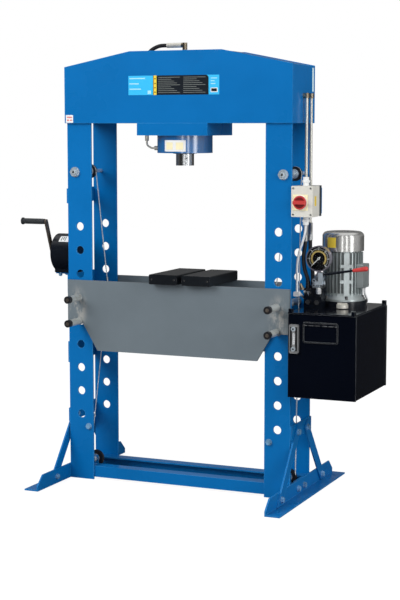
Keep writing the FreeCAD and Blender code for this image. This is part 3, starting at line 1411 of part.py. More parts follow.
# ---- pipes, hoses and cable ----
def make_pipes():
    pipes = []
    fittings = []
    z = pipe_top_z + elbow_height / 2
    for y in (pipe_front_y, pipe_rear_y):
        pipes.append(rod_z(pipe_x, y, pipe_bottom_z, pipe_top_z, pipe_radius))
        elbow = fuse([rod_z(pipe_x, y, pipe_top_z, pipe_top_z + elbow_height, elbow_radius),
                      rod_x(head_half, pipe_x, y, z, elbow_radius),
                      rod_x(post_outer_x - 14, pipe_x, y, z, pipe_radius)])
        fittings.append(elbow)
        fittings.append(hexagon(V(pipe_x, y, pipe_bottom_z - ferrule_length), V(pipe_x, y, pipe_bottom_z),
                                ferrule_radius + 1))
    port_x = cylinder_x - housing_radius
    fittings.append(hexagon(V(port_x - return_nut_length, 0, return_port_z), V(port_x, 0, return_port_z),
                            return_nut_radius))
    # Elbow on the cylinder's top port, pointing left.
    elbow = fuse([rod_z(cylinder_x, 0, barrel_top, top_port_z + elbow_radius, elbow_radius),
                  rod_x(cylinder_x - 14, cylinder_x, 0, top_port_z, elbow_radius)])
    fittings.append(elbow)
    save("pipe_fittings", fittings)

    bend_x = port_x - return_nut_length
    pipes.append(routed_tube("return pipe", [(bend_x, 0, return_port_z), (bend_x - 16, 0, return_port_z),
                                             (bend_x - 36, 0, return_port_z + 12),
                                             (bend_x - 36, 0, return_port_z + 30)], return_pipe_radius))
    foot_x = bend_x - 36
    pipes.append(rod_z(foot_x, 0, return_port_z + 30, return_port_z + 56, ferrule_radius - 1))
    top_x = cylinder_x - 14
    pipes.append(rod_x(top_x - 66, top_x, 0, top_port_z, ferrule_radius + 1))
    save("steel_pipes", pipes)

    start_x = top_x - 66
    hoses = []
    hoses.append(routed_tube("top hose", [(start_x, 0, top_port_z), (start_x - 35, 0, top_port_z),
                                          (start_x - 70, -9, top_port_z - 17),
                                          (start_x - 92, -30, top_port_z - 60),
                                          (start_x - 88, -62, top_port_z - 110),
                                          (start_x - 50, -92, top_port_z - 150),
                                          (start_x + 10, -100, top_port_z - 170),
                                          (0, -102, top_port_z - 180), (90, -100, top_port_z - 190),
                                          (180, -88, top_port_z - 200), (270, -60, top_port_z - 208),
                                          (post_outer_x - 145, -30, z + 1),
                                          (post_outer_x - 75, pipe_front_y, z),
                                          (post_outer_x - 14, pipe_front_y, z)], hose_radius))
    hoses.append(routed_tube("return hose", [(foot_x, 0, return_port_z + 56), (foot_x, 0, return_port_z + 106),
                                             (foot_x, 30, return_port_z + 160),
                                             (foot_x + 20, 76, return_port_z + 195),
                                             (foot_x + 80, 101, return_port_z + 208), (-30, 103, z - 4),
                                             (70, 103, z - 2), (170, 101, z), (270, 92, z),
                                             (post_outer_x - 145, 72, z),
                                             (post_outer_x - 75, pipe_rear_y, z),
                                             (post_outer_x - 14, pipe_rear_y, z)], hose_radius))
    low = pipe_bottom_z - ferrule_length
    hoses.append(routed_tube("front hose", [(pipe_x, pipe_front_y, low), (pipe_x, pipe_front_y, low - 34),
                                            (pipe_x - 13, 4, low - 82), (pipe_x - 13, 14, low - 136),
                                            (pipe_x + 3, 20, low - 184), (pipe_x + 3, 20, valve_top_z)],
                             hose_radius))
    hoses.append(routed_tube("rear hose", [(pipe_x, pipe_rear_y, low), (pipe_x, pipe_rear_y, low - 50),
                                           (pipe_x + 3, 52, low - 100), (pipe_x + 9, 55, low - 145),
                                           (pipe_x + 13, 52, low - 182), (pipe_x + 13, 52, valve_top_z)],
                             hose_radius))
    save("hoses", hoses)


def make_cable():
    start_z = switch_bottom_z - gland_length
    # The plug hangs between the right posts, in front of the valve block.
    plug_low = valve_top_z - plug_drop - plug_height
    plug_top = plug_low + plug_height
    plug = rounded_box(cable_x - plug_half_width, cable_x + plug_half_width, plug_y - plug_half_depth,
                       plug_y + plug_half_depth, plug_low, plug_top, 4, V(0, 1, 0))
    upper = routed_tube("upper cable", [(gland_x, gland_y, start_z + 20), (gland_x, gland_y, start_z - 22),
                                        (533, -76, start_z - 66), (515, -70, start_z - 110),
                                        (506, -66, start_z - 155), (cable_x, -60, start_z - 200),
                                        (cable_x, plug_y, plug_top + 24), (cable_x, plug_y, plug_top)],
                        cable_radius)
    out_y = plug_y + plug_half_depth
    out_z = plug_low + plug_height / 2
    lid = lid_top_z + cable_radius + 1
    end_y = motor_y + 20
    end_x = motor_x + motor_fin_radius + terminal_depth - 12
    end_z = lid_top_z + terminal_low_z
    lower = routed_tube("lower cable", [(cable_x, out_y, out_z), (cable_x, out_y + 22, out_z),
                                        (cable_x, 20, lid + 34), (504, 76, lid + 6), (514, 112, lid), (524, 150, lid),
                                        (544, 198, lid), (600, 238, lid), (658, 242, lid),
                                        (706, 226, lid), (end_x, end_y + 40, lid + 14),
                                        (end_x, end_y, lid + 46), (end_x, end_y, end_z)], cable_radius)
    save("motor_cable", [upper, plug, lower])


make_posts()
make_head()
make_cylinder()
make_ram()
make_frame_brackets()
make_feet_and_braces()
make_frame_bolts()
make_pulleys()
make_axles()
make_ropes()
make_winch()
make_table()
make_pins()
make_blocks()
make_tank()
make_motor()
make_valve()
make_gauge()
make_switch()
make_pipes()
make_cable()
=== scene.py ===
import math

import bmesh
import bpy
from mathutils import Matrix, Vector


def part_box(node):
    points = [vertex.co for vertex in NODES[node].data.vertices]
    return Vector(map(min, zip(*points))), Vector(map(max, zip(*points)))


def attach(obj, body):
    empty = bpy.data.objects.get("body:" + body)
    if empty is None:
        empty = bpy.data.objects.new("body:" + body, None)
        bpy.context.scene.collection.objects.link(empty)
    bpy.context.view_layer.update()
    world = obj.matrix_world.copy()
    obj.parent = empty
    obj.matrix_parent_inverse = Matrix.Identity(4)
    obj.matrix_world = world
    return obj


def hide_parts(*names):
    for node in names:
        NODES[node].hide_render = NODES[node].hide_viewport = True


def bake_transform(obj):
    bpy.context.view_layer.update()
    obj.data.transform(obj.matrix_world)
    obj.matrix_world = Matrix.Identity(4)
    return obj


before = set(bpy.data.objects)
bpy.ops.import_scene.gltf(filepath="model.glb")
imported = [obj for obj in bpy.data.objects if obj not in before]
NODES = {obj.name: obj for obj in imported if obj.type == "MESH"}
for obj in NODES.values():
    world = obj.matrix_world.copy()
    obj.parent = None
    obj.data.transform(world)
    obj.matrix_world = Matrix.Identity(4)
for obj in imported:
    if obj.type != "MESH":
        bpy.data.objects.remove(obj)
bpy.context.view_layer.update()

bl_info = {
    "name": "Workshop Press",
    "version": (1, 0, 0),
    "blender": (4, 5, 0),
    "location": "3D View > Sidebar > Workshop Press",
    "description": "Dresses a hydraulic workshop press: paint, metal, rope, labels, gauge, switch and stage",
    "category": "Object",
}

FRONT = (0, -1, 0)
UP = (0, 0, 1)
MOTOR_X, MOTOR_Y = 0.633, 0.135
GAUGE_X, GAUGE_Z = 0.573, 0.971
THIN_BEAD = 0.0018
FOIL_THICKNESS = 0.0004
WASHER_THICKNESS = 0.0018
ROUNDED_ANGLE = math.radians(35)
CRISP_ANGLE = math.radians(32)
PULLEYS = ["pulley_top_left", "pulley_top_right", "pulley_bottom_left", "pulley_bottom_right"]
PINS = ["pin_upper_left", "pin_upper_right", "pin_lower_left", "pin_lower_right"]
BLOCKS = ["press_block_left", "press_block_right"]


# ------------------------------------------------------------------ sizes and colours
class PressColours(bpy.types.PropertyGroup):
    """Colours of the press, as written on the surfaces"""
    frame_blue: bpy.props.FloatVectorProperty(
        name="Frame Blue", description="Paint of the welded frame", subtype="COLOR", size=3,
        min=0, max=1, default=(0.002, 0.148, 0.436))
    table_grey: bpy.props.FloatVectorProperty(
        name="Table Grey", description="Paint of the work table", subtype="COLOR", size=3,
        min=0, max=1, default=(0.150, 0.184, 0.208))
    tank_black: bpy.props.FloatVectorProperty(
        name="Tank Black", description="Gloss paint of the oil tank", subtype="COLOR", size=3,
        min=0, max=1, default=(0.0015, 0.0025, 0.006))
    satin_black: bpy.props.FloatVectorProperty(
        name="Satin Black", description="Paint of winch and valve block", subtype="COLOR",
        size=3, min=0, max=1, default=(0.0045, 0.0065, 0.011))
    motor_silver: bpy.props.FloatVectorProperty(
        name="Motor Silver", description="Paint of the motor", subtype="COLOR", size=3,
        min=0, max=1, default=(0.53, 0.59, 0.595))
    switch_cream: bpy.props.FloatVectorProperty(
        name="Switch Cream", description="Plastic of the switch box", subtype="COLOR", size=3,
        min=0, max=1, default=(0.69, 0.68, 0.62))
    signal_red: bpy.props.FloatVectorProperty(
        name="Signal Red", description="Plastic of the switch knob and the lever grip", subtype="COLOR",
        size=3, min=0, max=1, default=(0.56, 0.052, 0.05))
    plate_yellow: bpy.props.FloatVectorProperty(
        name="Plate Yellow", description="Plate behind the switch knob", subtype="COLOR",
        size=3, min=0, max=1, default=(0.95, 0.86, 0.55))
    signal_yellow: bpy.props.FloatVectorProperty(
        name="Signal Yellow", description="Plain yellow fields of the labels", subtype="COLOR",
        size=3, min=0, max=1, default=(0.88, 0.64, 0.06))
    label_cyan: bpy.props.FloatVectorProperty(
        name="Label Cyan", description="Bright part of the head's label", subtype="COLOR", size=3,
        min=0, max=1, default=(0.035, 0.52, 0.93))


class PressFinish(bpy.types.PropertyGroup):
    """Finish of edges and surfaces"""
    edge_round: bpy.props.FloatProperty(
        name="Edge Round", description="Radius of the worn edges of plates", subtype="DISTANCE",
        unit="LENGTH", min=0.0002, max=0.004, default=0.0012)
    wear: bpy.props.FloatProperty(
        name="Wear", description="Edge wear, as a share of each paint's own", subtype="FACTOR", min=0,
        max=2, default=1.0)
    grime: bpy.props.FloatProperty(
        name="Grime", description="Settled dust, as a share of each paint's own", subtype="FACTOR", min=0,
        max=2, default=1.0)
    bead_radius: bpy.props.FloatProperty(
        name="Bead Radius", description="Radius of the weld beads of head and posts", subtype="DISTANCE",
        unit="LENGTH", min=0.0005, max=0.006, default=0.0022)
    rope_radius: bpy.props.FloatProperty(
        name="Rope Radius", description="Radius of the steel ropes", subtype="DISTANCE", unit="LENGTH",
        min=0.001, max=0.004, default=0.0024)


class PressStudio(bpy.types.PropertyGroup):
    """Light and camera of the studio"""
    world_light: bpy.props.FloatProperty(
        name="World Light", description="Strength of the even light", min=0, max=3, default=0.52)
    key_power: bpy.props.FloatProperty(
        name="Key Light", description="Power of the large front lamp", subtype="POWER", unit="POWER",
        min=0, max=2000, default=205.0)
    rim_power: bpy.props.FloatProperty(
        name="Side Light", description="Power of the lamp on the right", subtype="POWER", unit="POWER",
        min=0, max=2000, default=88.0)
    lens: bpy.props.FloatProperty(
        name="Lens", description="Focal length of the camera", subtype="DISTANCE_CAMERA", min=20, max=300,
        default=89.3)


def finish():
    return bpy.context.scene.press_finish


def studio():
    return bpy.context.scene.press_studio


# ------------------------------------------------------------------ shader nodes
def add(tree, kind, links=None, **settings):
    """Adds a node, sets its properties and joins or sets its inputs."""
    made = tree.nodes.new(kind)
    for key, value in settings.items():
        setattr(made, key, value)
    for key, value in (links or {}).items():
        if isinstance(value, bpy.types.NodeSocket):
            tree.links.new(value, made.inputs[key])
        else:
            made.inputs[key].default_value = value
    return made


def calc(tree, operation, a, b=0.0, clamp=False):
    return add(tree, "ShaderNodeMath", {0: a, 1: b}, operation=operation, use_clamp=clamp).outputs[0]


def times(tree, a, b, clamp=False):
    return calc(tree, "MULTIPLY", a, b, clamp)


def plus(tree, a, b):
    return calc(tree, "ADD", a, b)


def ramp(tree, value, low, high, kind="SMOOTHSTEP"):
    """Maps low..high to 0..1."""
    return add(tree, "ShaderNodeMapRange", {"Value": value, "From Min": low, "From Max": high},
               interpolation_type=kind).outputs["Result"]


def position(tree, scale=(1, 1, 1)):
    coords = tree.nodes.new("ShaderNodeTexCoord")
    return add(tree, "ShaderNodeVectorMath", {0: coords.outputs["Object"], 1: scale},
               operation="MULTIPLY").outputs[0]


def noise(tree, vector, scale, detail=3.0, rough=0.5):
    return add(tree, "ShaderNodeTexNoise", {"Vector": vector, "Scale": scale, "Detail": detail,
                                            "Roughness": rough}).outputs["Fac"]


def mixed(tree, factor, a, b):
    made = add(tree, "ShaderNodeMix", data_type="RGBA")
    for index, value in ((0, factor), (6, a), (7, b)):
        if isinstance(value, bpy.types.NodeSocket):
            tree.links.new(value, made.inputs[index])
        else:
            made.inputs[index].default_value = (*value[:3], 1.0)
    return made.outputs[2]


def new_group(name, inputs, outputs):
    """A node group with float or vector inputs and float outputs."""
    group = bpy.data.node_groups.new(name, "ShaderNodeTree")
    for label, value in inputs.items():
        kind = "NodeSocketVector" if isinstance(value, tuple) else "NodeSocketFloat"
        group.interface.new_socket(name=label, in_out="INPUT", socket_type=kind).default_value = value
    for label in outputs:
        group.interface.new_socket(name=label, in_out="OUTPUT", socket_type="NodeSocketFloat")
    return group, group.nodes.new("NodeGroupInput").outputs, group.nodes.new("NodeGroupOutput").inputs


def closed(group, out, **values):
    for label, value in values.items():
        group.links.new(value, out[label])
    return group


def build_sprayed_paint():
    """Orange peel, slow tone drift and settled dust of a sprayed or powder coat."""
    group, given, out = new_group("Sprayed Paint", {"Peel Scale": 420.0, "Dust": 0.3},
                                  ("Tone", "Dust", "Height"))
    here = position(group)
    drift = noise(group, here, 3.1, 4.0, 0.6)
    speck = noise(group, here, 46.0, 5.0, 0.7)
    facing = add(group, "ShaderNodeSeparateXYZ",
                 {0: group.nodes.new("ShaderNodeNewGeometry").outputs["Normal"]}).outputs["Z"]
    base = plus(group, times(group, ramp(group, facing, 0.35, 1.0), 0.55), 0.02)
    cloud = ramp(group, plus(group, speck, times(group, drift, 0.6)), 0.68, 1.0)
    return closed(group, out, Tone=drift, Height=noise(group, here, given["Peel Scale"], 2.0, 0.4),
                  Dust=times(group, times(group, base, cloud), given["Dust"], True))


def build_edge_wear_and_highlight():
    """Chipped paint along convex edges, broken up by noise, and a mask of the edges themselves that carries a
    painted highlight.
    """
    group, given, out = new_group("Edge Wear And Highlight", {"Width": 0.003, "Amount": 0.4}, ("Mask", "Edge"))
    here = position(group)
    rounded = add(group, "ShaderNodeBevel", {"Radius": given["Width"]}, samples=4)
    flat = group.nodes.new("ShaderNodeNewGeometry").outputs["Normal"]
    dot = add(group, "ShaderNodeVectorMath", {0: rounded.outputs[0], 1: flat}, operation="DOT_PRODUCT")
    edge = ramp(group, calc(group, "SUBTRACT", 1.0, dot.outputs["Value"]), 0.02, 0.16)
    chips = ramp(group, noise(group, here, 95.0, 6.0, 0.75), 0.47, 0.62)
    long_chips = ramp(group, noise(group, here, 9.0, 3.0, 0.6), 0.35, 0.65)
    mask = times(group, times(group, edge, chips), long_chips)
    soft = ramp(group, noise(group, here, 5.0, 3.0, 0.6), 0.30, 0.62)
    return closed(group, out, Mask=times(group, mask, given["Amount"], True), Edge=times(group, edge, soft))


def build_brushed():
    """Fine turning or grinding lines stretched along one axis."""
    group, given, out = new_group("Brushed Lines", {"Stretch": (1.0, 1.0, 1.0), "Scale": 300.0},
                                  ("Tone", "Height"))
    here = position(group, given["Stretch"])
    return closed(group, out, Tone=noise(group, here, 24.0, 3.0, 0.6),
                  Height=noise(group, here, given["Scale"], 4.0, 0.65))


def build_moulded():
    """Soft grain and rubbed spots of moulded plastic and rubber."""
    group, given, out = new_group("Moulded Grain", {"Scale": 700.0}, ("Tone", "Height"))
    here = position(group)
    cells = add(group, "ShaderNodeTexVoronoi", {"Vector": here, "Scale": given["Scale"]},
                feature="SMOOTH_F1")
    return closed(group, out, Tone=noise(group, here, 30.0, 4.0, 0.65), Height=cells.outputs["Distance"])


def build_rope_lay():
    """Strands of a steel rope as slanted ridges round any rope that runs mostly along Z or X."""
    group, given, out = new_group("Rope Lay", {"Pitch": 160.0}, ("Height", "Tone"))
    here = position(group)
    x, y, z = add(group, "ShaderNodeSeparateXYZ", {0: here}).outputs
    phase = times(group, plus(group, plus(group, z, x), times(group, y, 1.6)), given["Pitch"])
    wave = calc(group, "SINE", times(group, phase, 6.2832))
    return closed(group, out, Height=plus(group, times(group, wave, 0.5), 0.5),
                  Tone=noise(group, here, 60.0, 3.0, 0.6))


GROUP_BUILDERS = {"Sprayed Paint": build_sprayed_paint, "Edge Wear And Highlight": build_edge_wear_and_highlight,
                  "Brushed Lines": build_brushed, "Moulded Grain": build_moulded,
                  "Rope Lay": build_rope_lay}


def place_group(tree, name, **values):
    made = tree.nodes.new("ShaderNodeGroup")
    made.node_tree = bpy.data.node_groups.get(name) or GROUP_BUILDERS[name]()
    for key, value in values.items():
        made.inputs[key.replace("_", " ")].default_value = value
    return made.outputs


# ------------------------------------------------------------------ materials
def fresh_material(name):
    made = bpy.data.materials.new(name)
    made.use_nodes = True
    tree = made.node_tree
    tree.nodes.clear()
    shader = tree.nodes.new("ShaderNodeBsdfPrincipled")
    out = tree.nodes.new("ShaderNodeOutputMaterial")
    tree.links.new(shader.outputs[0], out.inputs["Surface"])
    return made, tree, shader


def shaded(colour, factor):
    return tuple(min(1.0, max(0.0, channel * factor)) for channel in colour[:3])


def drifting(tree, factor, colour, share):
    """A colour that goes a share darker and lighter."""
    return mixed(tree, factor, shaded(colour, 1 - share), shaded(colour, 1 + share))


def surface(tree, shader, colour, base, tone, reach):
    """Joins the colour, and a roughness of base plus a reach that follows the tone."""
    tree.links.new(colour, shader.inputs["Base Color"])
    tree.links.new(plus(tree, base, times(tree, tone, reach)), shader.inputs["Roughness"])


def relief(tree, shader, height, strength, distance):
    bump = add(tree, "ShaderNodeBump", {"Height": height, "Strength": strength, "Distance": distance})
    tree.links.new(bump.outputs[0], shader.inputs["Normal"])


def paint(name, colour, roughness, peel, depth=0.00025, under=(0.30, 0.31, 0.32), wear=0.5, dust=0.05,
          gloss=0.5, coat=0.0, drift=0.10, sheen=0.10, bend=1.5, edge_highlight=None):
    """Sprayed paint. The colour given for its edges is a painted highlight along them; sheen and bend are the
    clear coat's roughness and IOR.
    """
    made, tree, shader = fresh_material(name)
    layer = place_group(tree, "Sprayed Paint", Peel_Scale=peel, Dust=dust * finish().grime)
    edges = place_group(tree, "Edge Wear And Highlight", Width=0.0030, Amount=wear * finish().wear)
    toned = drifting(tree, ramp(tree, layer["Tone"], 0.3, 0.7), colour, drift)
    # painted highlight: the edges are tinted towards a paler colour
    if edge_highlight:
        toned = mixed(tree, times(tree, edges["Edge"], 0.8), toned, edge_highlight)
    dusty = mixed(tree, layer["Dust"], toned, (0.42, 0.41, 0.39))
    rough = plus(tree, roughness - 0.05, times(tree, layer["Tone"], 0.1))
    surface(tree, shader, mixed(tree, edges["Mask"], dusty, under), rough, layer["Dust"], 0.35)
    for socket, value in (("Specular IOR Level", gloss), ("Coat Weight", coat), ("Coat Roughness", sheen),
                          ("Coat IOR", bend)):
        shader.inputs[socket].default_value = value
    height = calc(tree, "SUBTRACT", layer["Height"], times(tree, edges["Mask"], 1.5))
    relief(tree, shader, height, 0.35, depth)
    return made


def metal(name, colour, roughness, stretch=(1, 1, 1), scale=300.0, depth=0.0001, dark=0.75, stain=None,
          metallic=1.0):
    """Bare or plated metal; dark is its darkest tone, stain the colour of its spots."""
    made, tree, shader = fresh_material(name)
    lines = place_group(tree, "Brushed Lines", Stretch=stretch, Scale=scale)
    tone = mixed(tree, ramp(tree, lines["Tone"], 0.3, 0.72), shaded(colour, dark), colour)
    if stain:
        spots = ramp(tree, noise(tree, position(tree), 22.0, 6.0, 0.72), 0.52, 0.70)
        tone = mixed(tree, times(tree, spots, 0.65), tone, stain)
    surface(tree, shader, tone, roughness - 0.08, lines["Height"], 0.16)
    shader.inputs["Metallic"].default_value = metallic
    relief(tree, shader, lines["Height"], 0.3, depth)
    return made


def plastic(name, colour, roughness, scale=700.0, depth=0.0001, contrast=0.12):
    made, tree, shader = fresh_material(name)
    grain = place_group(tree, "Moulded Grain", Scale=scale)
    tone = drifting(tree, ramp(tree, grain["Tone"], 0.3, 0.7), colour, contrast)
    surface(tree, shader, tone, roughness - 0.06, grain["Tone"], 0.12)
    relief(tree, shader, grain["Height"], 0.25, depth)
    return made


def rope_steel():
    made, tree, shader = fresh_material("Rope Steel")
    lay = place_group(tree, "Rope Lay", Pitch=170.0)
    # paler on the strands' crowns and darker in the grooves between them: painted highlight and painted shade
    tone = mixed(tree, lay["Height"], (0.46, 0.53, 0.60), (0.86, 0.92, 0.97))
    surface(tree, shader, tone, 0.28, lay["Tone"], 0.2)
    shader.inputs["Metallic"].default_value = 0.45
    relief(tree, shader, lay["Height"], 0.8, 0.0006)
    return made


def clear_glass():
    made, tree, shader = fresh_material("Clear Glass")
    marks = noise(tree, position(tree), 60.0, 4.0, 0.6)
    tint = (0.95, 0.98, 0.98)
    surface(tree, shader, mixed(tree, marks, tint, shaded(tint, 0.96)), 0.0, marks, 0.06)
    shader.inputs["Transmission Weight"].default_value = 1.0
    shader.inputs["IOR"].default_value = 1.1
    made.blend_method = "BLEND"
    return made


def print_film(name, colour, roughness=0.4, contrast=0.04, gloss=0.5):
    """Printed foil of a label, with a little mottle."""
    made, tree, shader = fresh_material(name)
    mottle = noise(tree, position(tree), 90.0, 4.0, 0.6)
    surface(tree, shader, drifting(tree, mottle, colour, contrast), roughness - 0.05, mottle, 0.1)
    shader.inputs["Specular IOR Level"].default_value = gloss
    relief(tree, shader, noise(tree, position(tree), 900.0, 2.0, 0.5), 0.15, 0.00005)
    return made


def table_paint(colour):
    """Grey paint with pale patches round the locking pins, which are a painted highlight."""
    made = paint("Table Grey", colour, 0.36, 300.0, wear=0.55, dust=0.25, drift=0.05, gloss=0.45)
    tree = made.node_tree
    shader = next(n for n in tree.nodes if n.type == "BSDF_PRINCIPLED")
    before = shader.inputs["Base Color"].links[0].from_socket
    x, y, z = add(tree, "ShaderNodeSeparateXYZ", {0: position(tree)}).outputs
    side = times(tree, calc(tree, "SUBTRACT", calc(tree, "ABSOLUTE", x), 0.452), 1.35)
    height = times(tree, calc(tree, "SUBTRACT", z, 0.732), 0.62)
    reach = calc(tree, "SQRT", plus(tree, calc(tree, "POWER", side, 2.0), calc(tree, "POWER", height, 2.0)))
    blotch = ramp(tree, noise(tree, position(tree, (1.0, 1.0, 0.5)), 26.0, 5.0, 0.7), 0.42, 0.60)
    # pale patches round the pins: painted highlight
    pin_highlight = times(tree, ramp(tree, reach, 0.075, 0.02), blotch)
    tree.links.new(mixed(tree, times(tree, pin_highlight, 0.75), before, (0.44, 0.43, 0.40)),
                   shader.inputs["Base Color"])
    return made


LIBRARY = {}


def look(name):
    """Each named finish is made once, when it is first asked for."""
    if name not in LIBRARY:
        c = bpy.context.scene.press_colours
        # pale blue where the edges chip: partly wear, partly a painted highlight along them
        blue_wear_and_highlight = (0.05, 0.30, 0.62)
        finishes = {
            # the frame's edges are also tinted a paler blue: painted highlight
            "frame": (paint, "Frame Blue", c.frame_blue, 0.28, 380.0,
                      dict(under=blue_wear_and_highlight, wear=0.35, gloss=0.12, drift=0.05, coat=0.22,
                           edge_highlight=(0.09, 0.40, 0.80))),
            # the housing's blue is a darker copy of the frame blue: painted shade
            "housing": (paint, "Housing Blue", shaded(c.frame_blue, 0.86), 0.30, 380.0,
                        dict(under=blue_wear_and_highlight, wear=0.2, gloss=0.3, drift=0.05, coat=1.0, sheen=0.17,
                             bend=2.5)),
            "table": (table_paint, c.table_grey),
            # the tank's edges are tinted grey: painted highlight
            "tank": (paint, "Tank Gloss Black", c.tank_black, 0.10, 210.0, 0.0003,
                     dict(under=(0.06, 0.065, 0.07), dust=0.03, gloss=0.22, edge_highlight=(0.16, 0.17, 0.18))),
            "satin": (paint, "Satin Black", c.satin_black, 0.22, 500.0,
                      dict(under=(0.11, 0.115, 0.12), wear=0.6)),
            "block": (paint, "Block Black", (0.008, 0.010, 0.013), 0.36, 260.0,
                      dict(under=(0.22, 0.22, 0.22), wear=0.8, dust=0.10, gloss=0.3)),
            "wet_black": (paint, "Wet Black", (0.002, 0.003, 0.006), 0.10, 60.0, 0.002,
                          dict(wear=0.2, dust=0.0, coat=0.3)),
            "motor": (metal, "Motor Silver", c.motor_silver, 0.32,
                      dict(scale=420.0, depth=0.00015, dark=0.86, metallic=0.62)),
            # darker copy of the motor silver for the faces between the fins: painted shade
            "groove": (metal, "Motor Groove", shaded(c.motor_silver, 0.35), 0.42,
                       dict(scale=420.0, depth=0.00015, dark=0.8, metallic=0.4)),
            # pale metal for the tank panel's drops, lumps and line: painted highlight
            "shine": (metal, "Wet Paint Shine", (0.34, 0.35, 0.37), 0.14,
                      dict(scale=120.0, depth=0.0002, dark=0.3, metallic=0.8)),
            "cover": (metal, "Fan Cover Silver", (0.74, 0.74, 0.72), 0.20,
                      dict(depth=0.00005, dark=0.92, metallic=0.85)),
            "bolt": (metal, "Plated Bolt", (0.70, 0.80, 0.88), 0.22,
                     dict(scale=200.0, dark=0.72, metallic=0.5)),
            "pin": (metal, "Worn Pin", (0.62, 0.65, 0.63), 0.30, (3.0, 0.15, 3.0), 260.0,
                    dict(stain=(0.24, 0.21, 0.16), metallic=0.3)),
            "frame_bolt": (metal, "Blued Bolt", (0.26, 0.52, 0.80), 0.20,
                           dict(scale=200.0, dark=0.6, metallic=0.25)),
            "zinc": (metal, "Zinc Plate", (0.66, 0.68, 0.69), 0.34, dict(scale=200.0, dark=0.6)),
            "chrome": (metal, "Hard Chrome", (0.80, 0.83, 0.85), 0.20, (0.2, 0.2, 4.0), 420.0, 0.00004, 0.9),
            "pipe": (metal, "Plated Pipe", (0.84, 0.82, 0.74), 0.24, (1, 1, 0.05),
                     dict(dark=0.88, metallic=0.5)),
            "brass": (metal, "Dull Brass", (0.50, 0.42, 0.30), 0.34,
                      dict(scale=240.0, dark=0.6, stain=(0.16, 0.12, 0.08))),
            "crank": (metal, "Crank Steel", (0.30, 0.255, 0.215), 0.42, (1, 1, 0.3), 160.0,
                      dict(dark=0.6, stain=(0.17, 0.09, 0.055), metallic=0.8)),
            "iron": (metal, "Cast Iron", (0.20, 0.20, 0.20), 0.5, dict(scale=90.0, depth=0.0004, dark=0.7)),
            "rope": (rope_steel,),
            "ring": (metal, "Bezel Steel", (0.52, 0.49, 0.57), 0.24, dict(dark=0.8, metallic=0.7)),
            "frost": (metal, "Brushed Aluminium", (0.62, 0.63, 0.64), 0.30, (1, 1, 0.1),
                      dict(dark=0.8, metallic=0.7)),
            "wheel": (plastic, "Wheel Black", (0.014, 0.014, 0.016), 0.36),
            "rubber": (plastic, "Hose Rubber", (0.012, 0.012, 0.014), 0.48, 500.0, 0.0003, 0.2),
            "grip": (plastic, "Grip Black", (0.030, 0.034, 0.038), 0.34, 420.0, 0.0002, 0.2),
            "cable": (plastic, "Cable White", (0.80, 0.81, 0.82), 0.42, 300.0, 0.0001, 0.04),
            "gland": (plastic, "Gland White", (0.84, 0.85, 0.85), 0.38, 500.0, 0.0001, 0.03),
            "cream": (plastic, "Switch Cream", c.switch_cream, 0.36, 900.0, 0.0001, 0.03),
            "slate": (plastic, "Switch Dark", (0.034, 0.047, 0.062), 0.42, dict(contrast=0.1)),
            "red": (plastic, "Signal Red", c.signal_red, 0.34, 600.0, 0.0001, 0.06),
            # dark red for the switch knob's hollows: painted shade
            "dark_red": (plastic, "Hollow Red", (0.16, 0.010, 0.012), 0.4, 600.0, 0.0001, 0.1),
            "yellow": (print_film, "Signal Yellow", c.signal_yellow, 0.36),
            "pale_yellow": (print_film, "Plate Yellow", c.plate_yellow, 0.36),
            "cyan": (print_film, "Label Cyan", c.label_cyan, 0.34, 0.02),
            "ink": (print_film, "Label Black", (0.010, 0.014, 0.02), 0.34),
            "ink_grey": (print_film, "Label Grey", (0.19, 0.21, 0.20)),
            "paper": (print_film, "Label White", (0.86, 0.87, 0.87), 0.36, 0.02),
            "ink_red": (print_film, "Label Red", (0.72, 0.22, 0.20)),
            "dial": (print_film, "Dial Black", (0.002, 0.002, 0.003), 0.5, dict(gloss=0.08)),
            "gold": (print_film, "Dial Gold", (0.66, 0.46, 0.12)),
            "glass": (clear_glass,),
            "oil": (print_film, "Gauge Oil", (0.72, 0.74, 0.76), 0.2, 0.08),
            "label_pale": (print_film, "Label Pale Blue", (0.42, 0.78, 0.95)),
            # pale strip at the head's end: painted highlight
            "seam": (print_film, "Bare Seam", (0.72, 0.93, 0.97), 0.5, 0.03),
        }
        maker, *values = finishes[name]
        options = values.pop() if values and isinstance(values[-1], dict) else {}
        LIBRARY[name] = maker(*values, **options)
    return LIBRARY[name]


# ------------------------------------------------------------------ mesh helpers
def from_bmesh(name, mesh):
    bmesh.ops.recalc_face_normals(mesh, faces=mesh.faces[:])
    data = bpy.data.meshes.new(name)
    mesh.to_mesh(data)
    mesh.free()
    return bpy.data.objects.new(name, data)


def keep(name, mesh, finish_name, body="frame"):
    """Makes a new piece from a bmesh, gives it its finish and seats it on its body."""
    piece = from_bmesh(name, mesh)
    bpy.context.scene.collection.objects.link(piece)
    piece.data.materials.append(look(finish_name))
    if body:
        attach(piece, body)
    return piece


def smooth(piece):
    for polygon in piece.data.polygons:
        polygon.use_smooth = True
    return piece


def soften(piece, width):
    """Rounds sharp edges and keeps flat faces flat."""
    rounding = smooth(piece).modifiers.new("Rounded edges", "BEVEL")
    rounding.width = width
    rounding.segments = 2
    rounding.limit_method = "ANGLE"
    rounding.angle_limit = ROUNDED_ANGLE
    rounding.use_clamp_overlap = True
    rounding.harden_normals = False
    weighted = piece.modifiers.new("Face normals", "WEIGHTED_NORMAL")
    weighted.keep_sharp = True
    weighted.weight = 80
    return piece


def sharpen(piece):
    """Keeps crisp shoulders on a smooth turned piece."""
    smooth(piece).modifiers.new("Crisp shoulders", "EDGE_SPLIT").split_angle = CRISP_ANGLE
    return piece


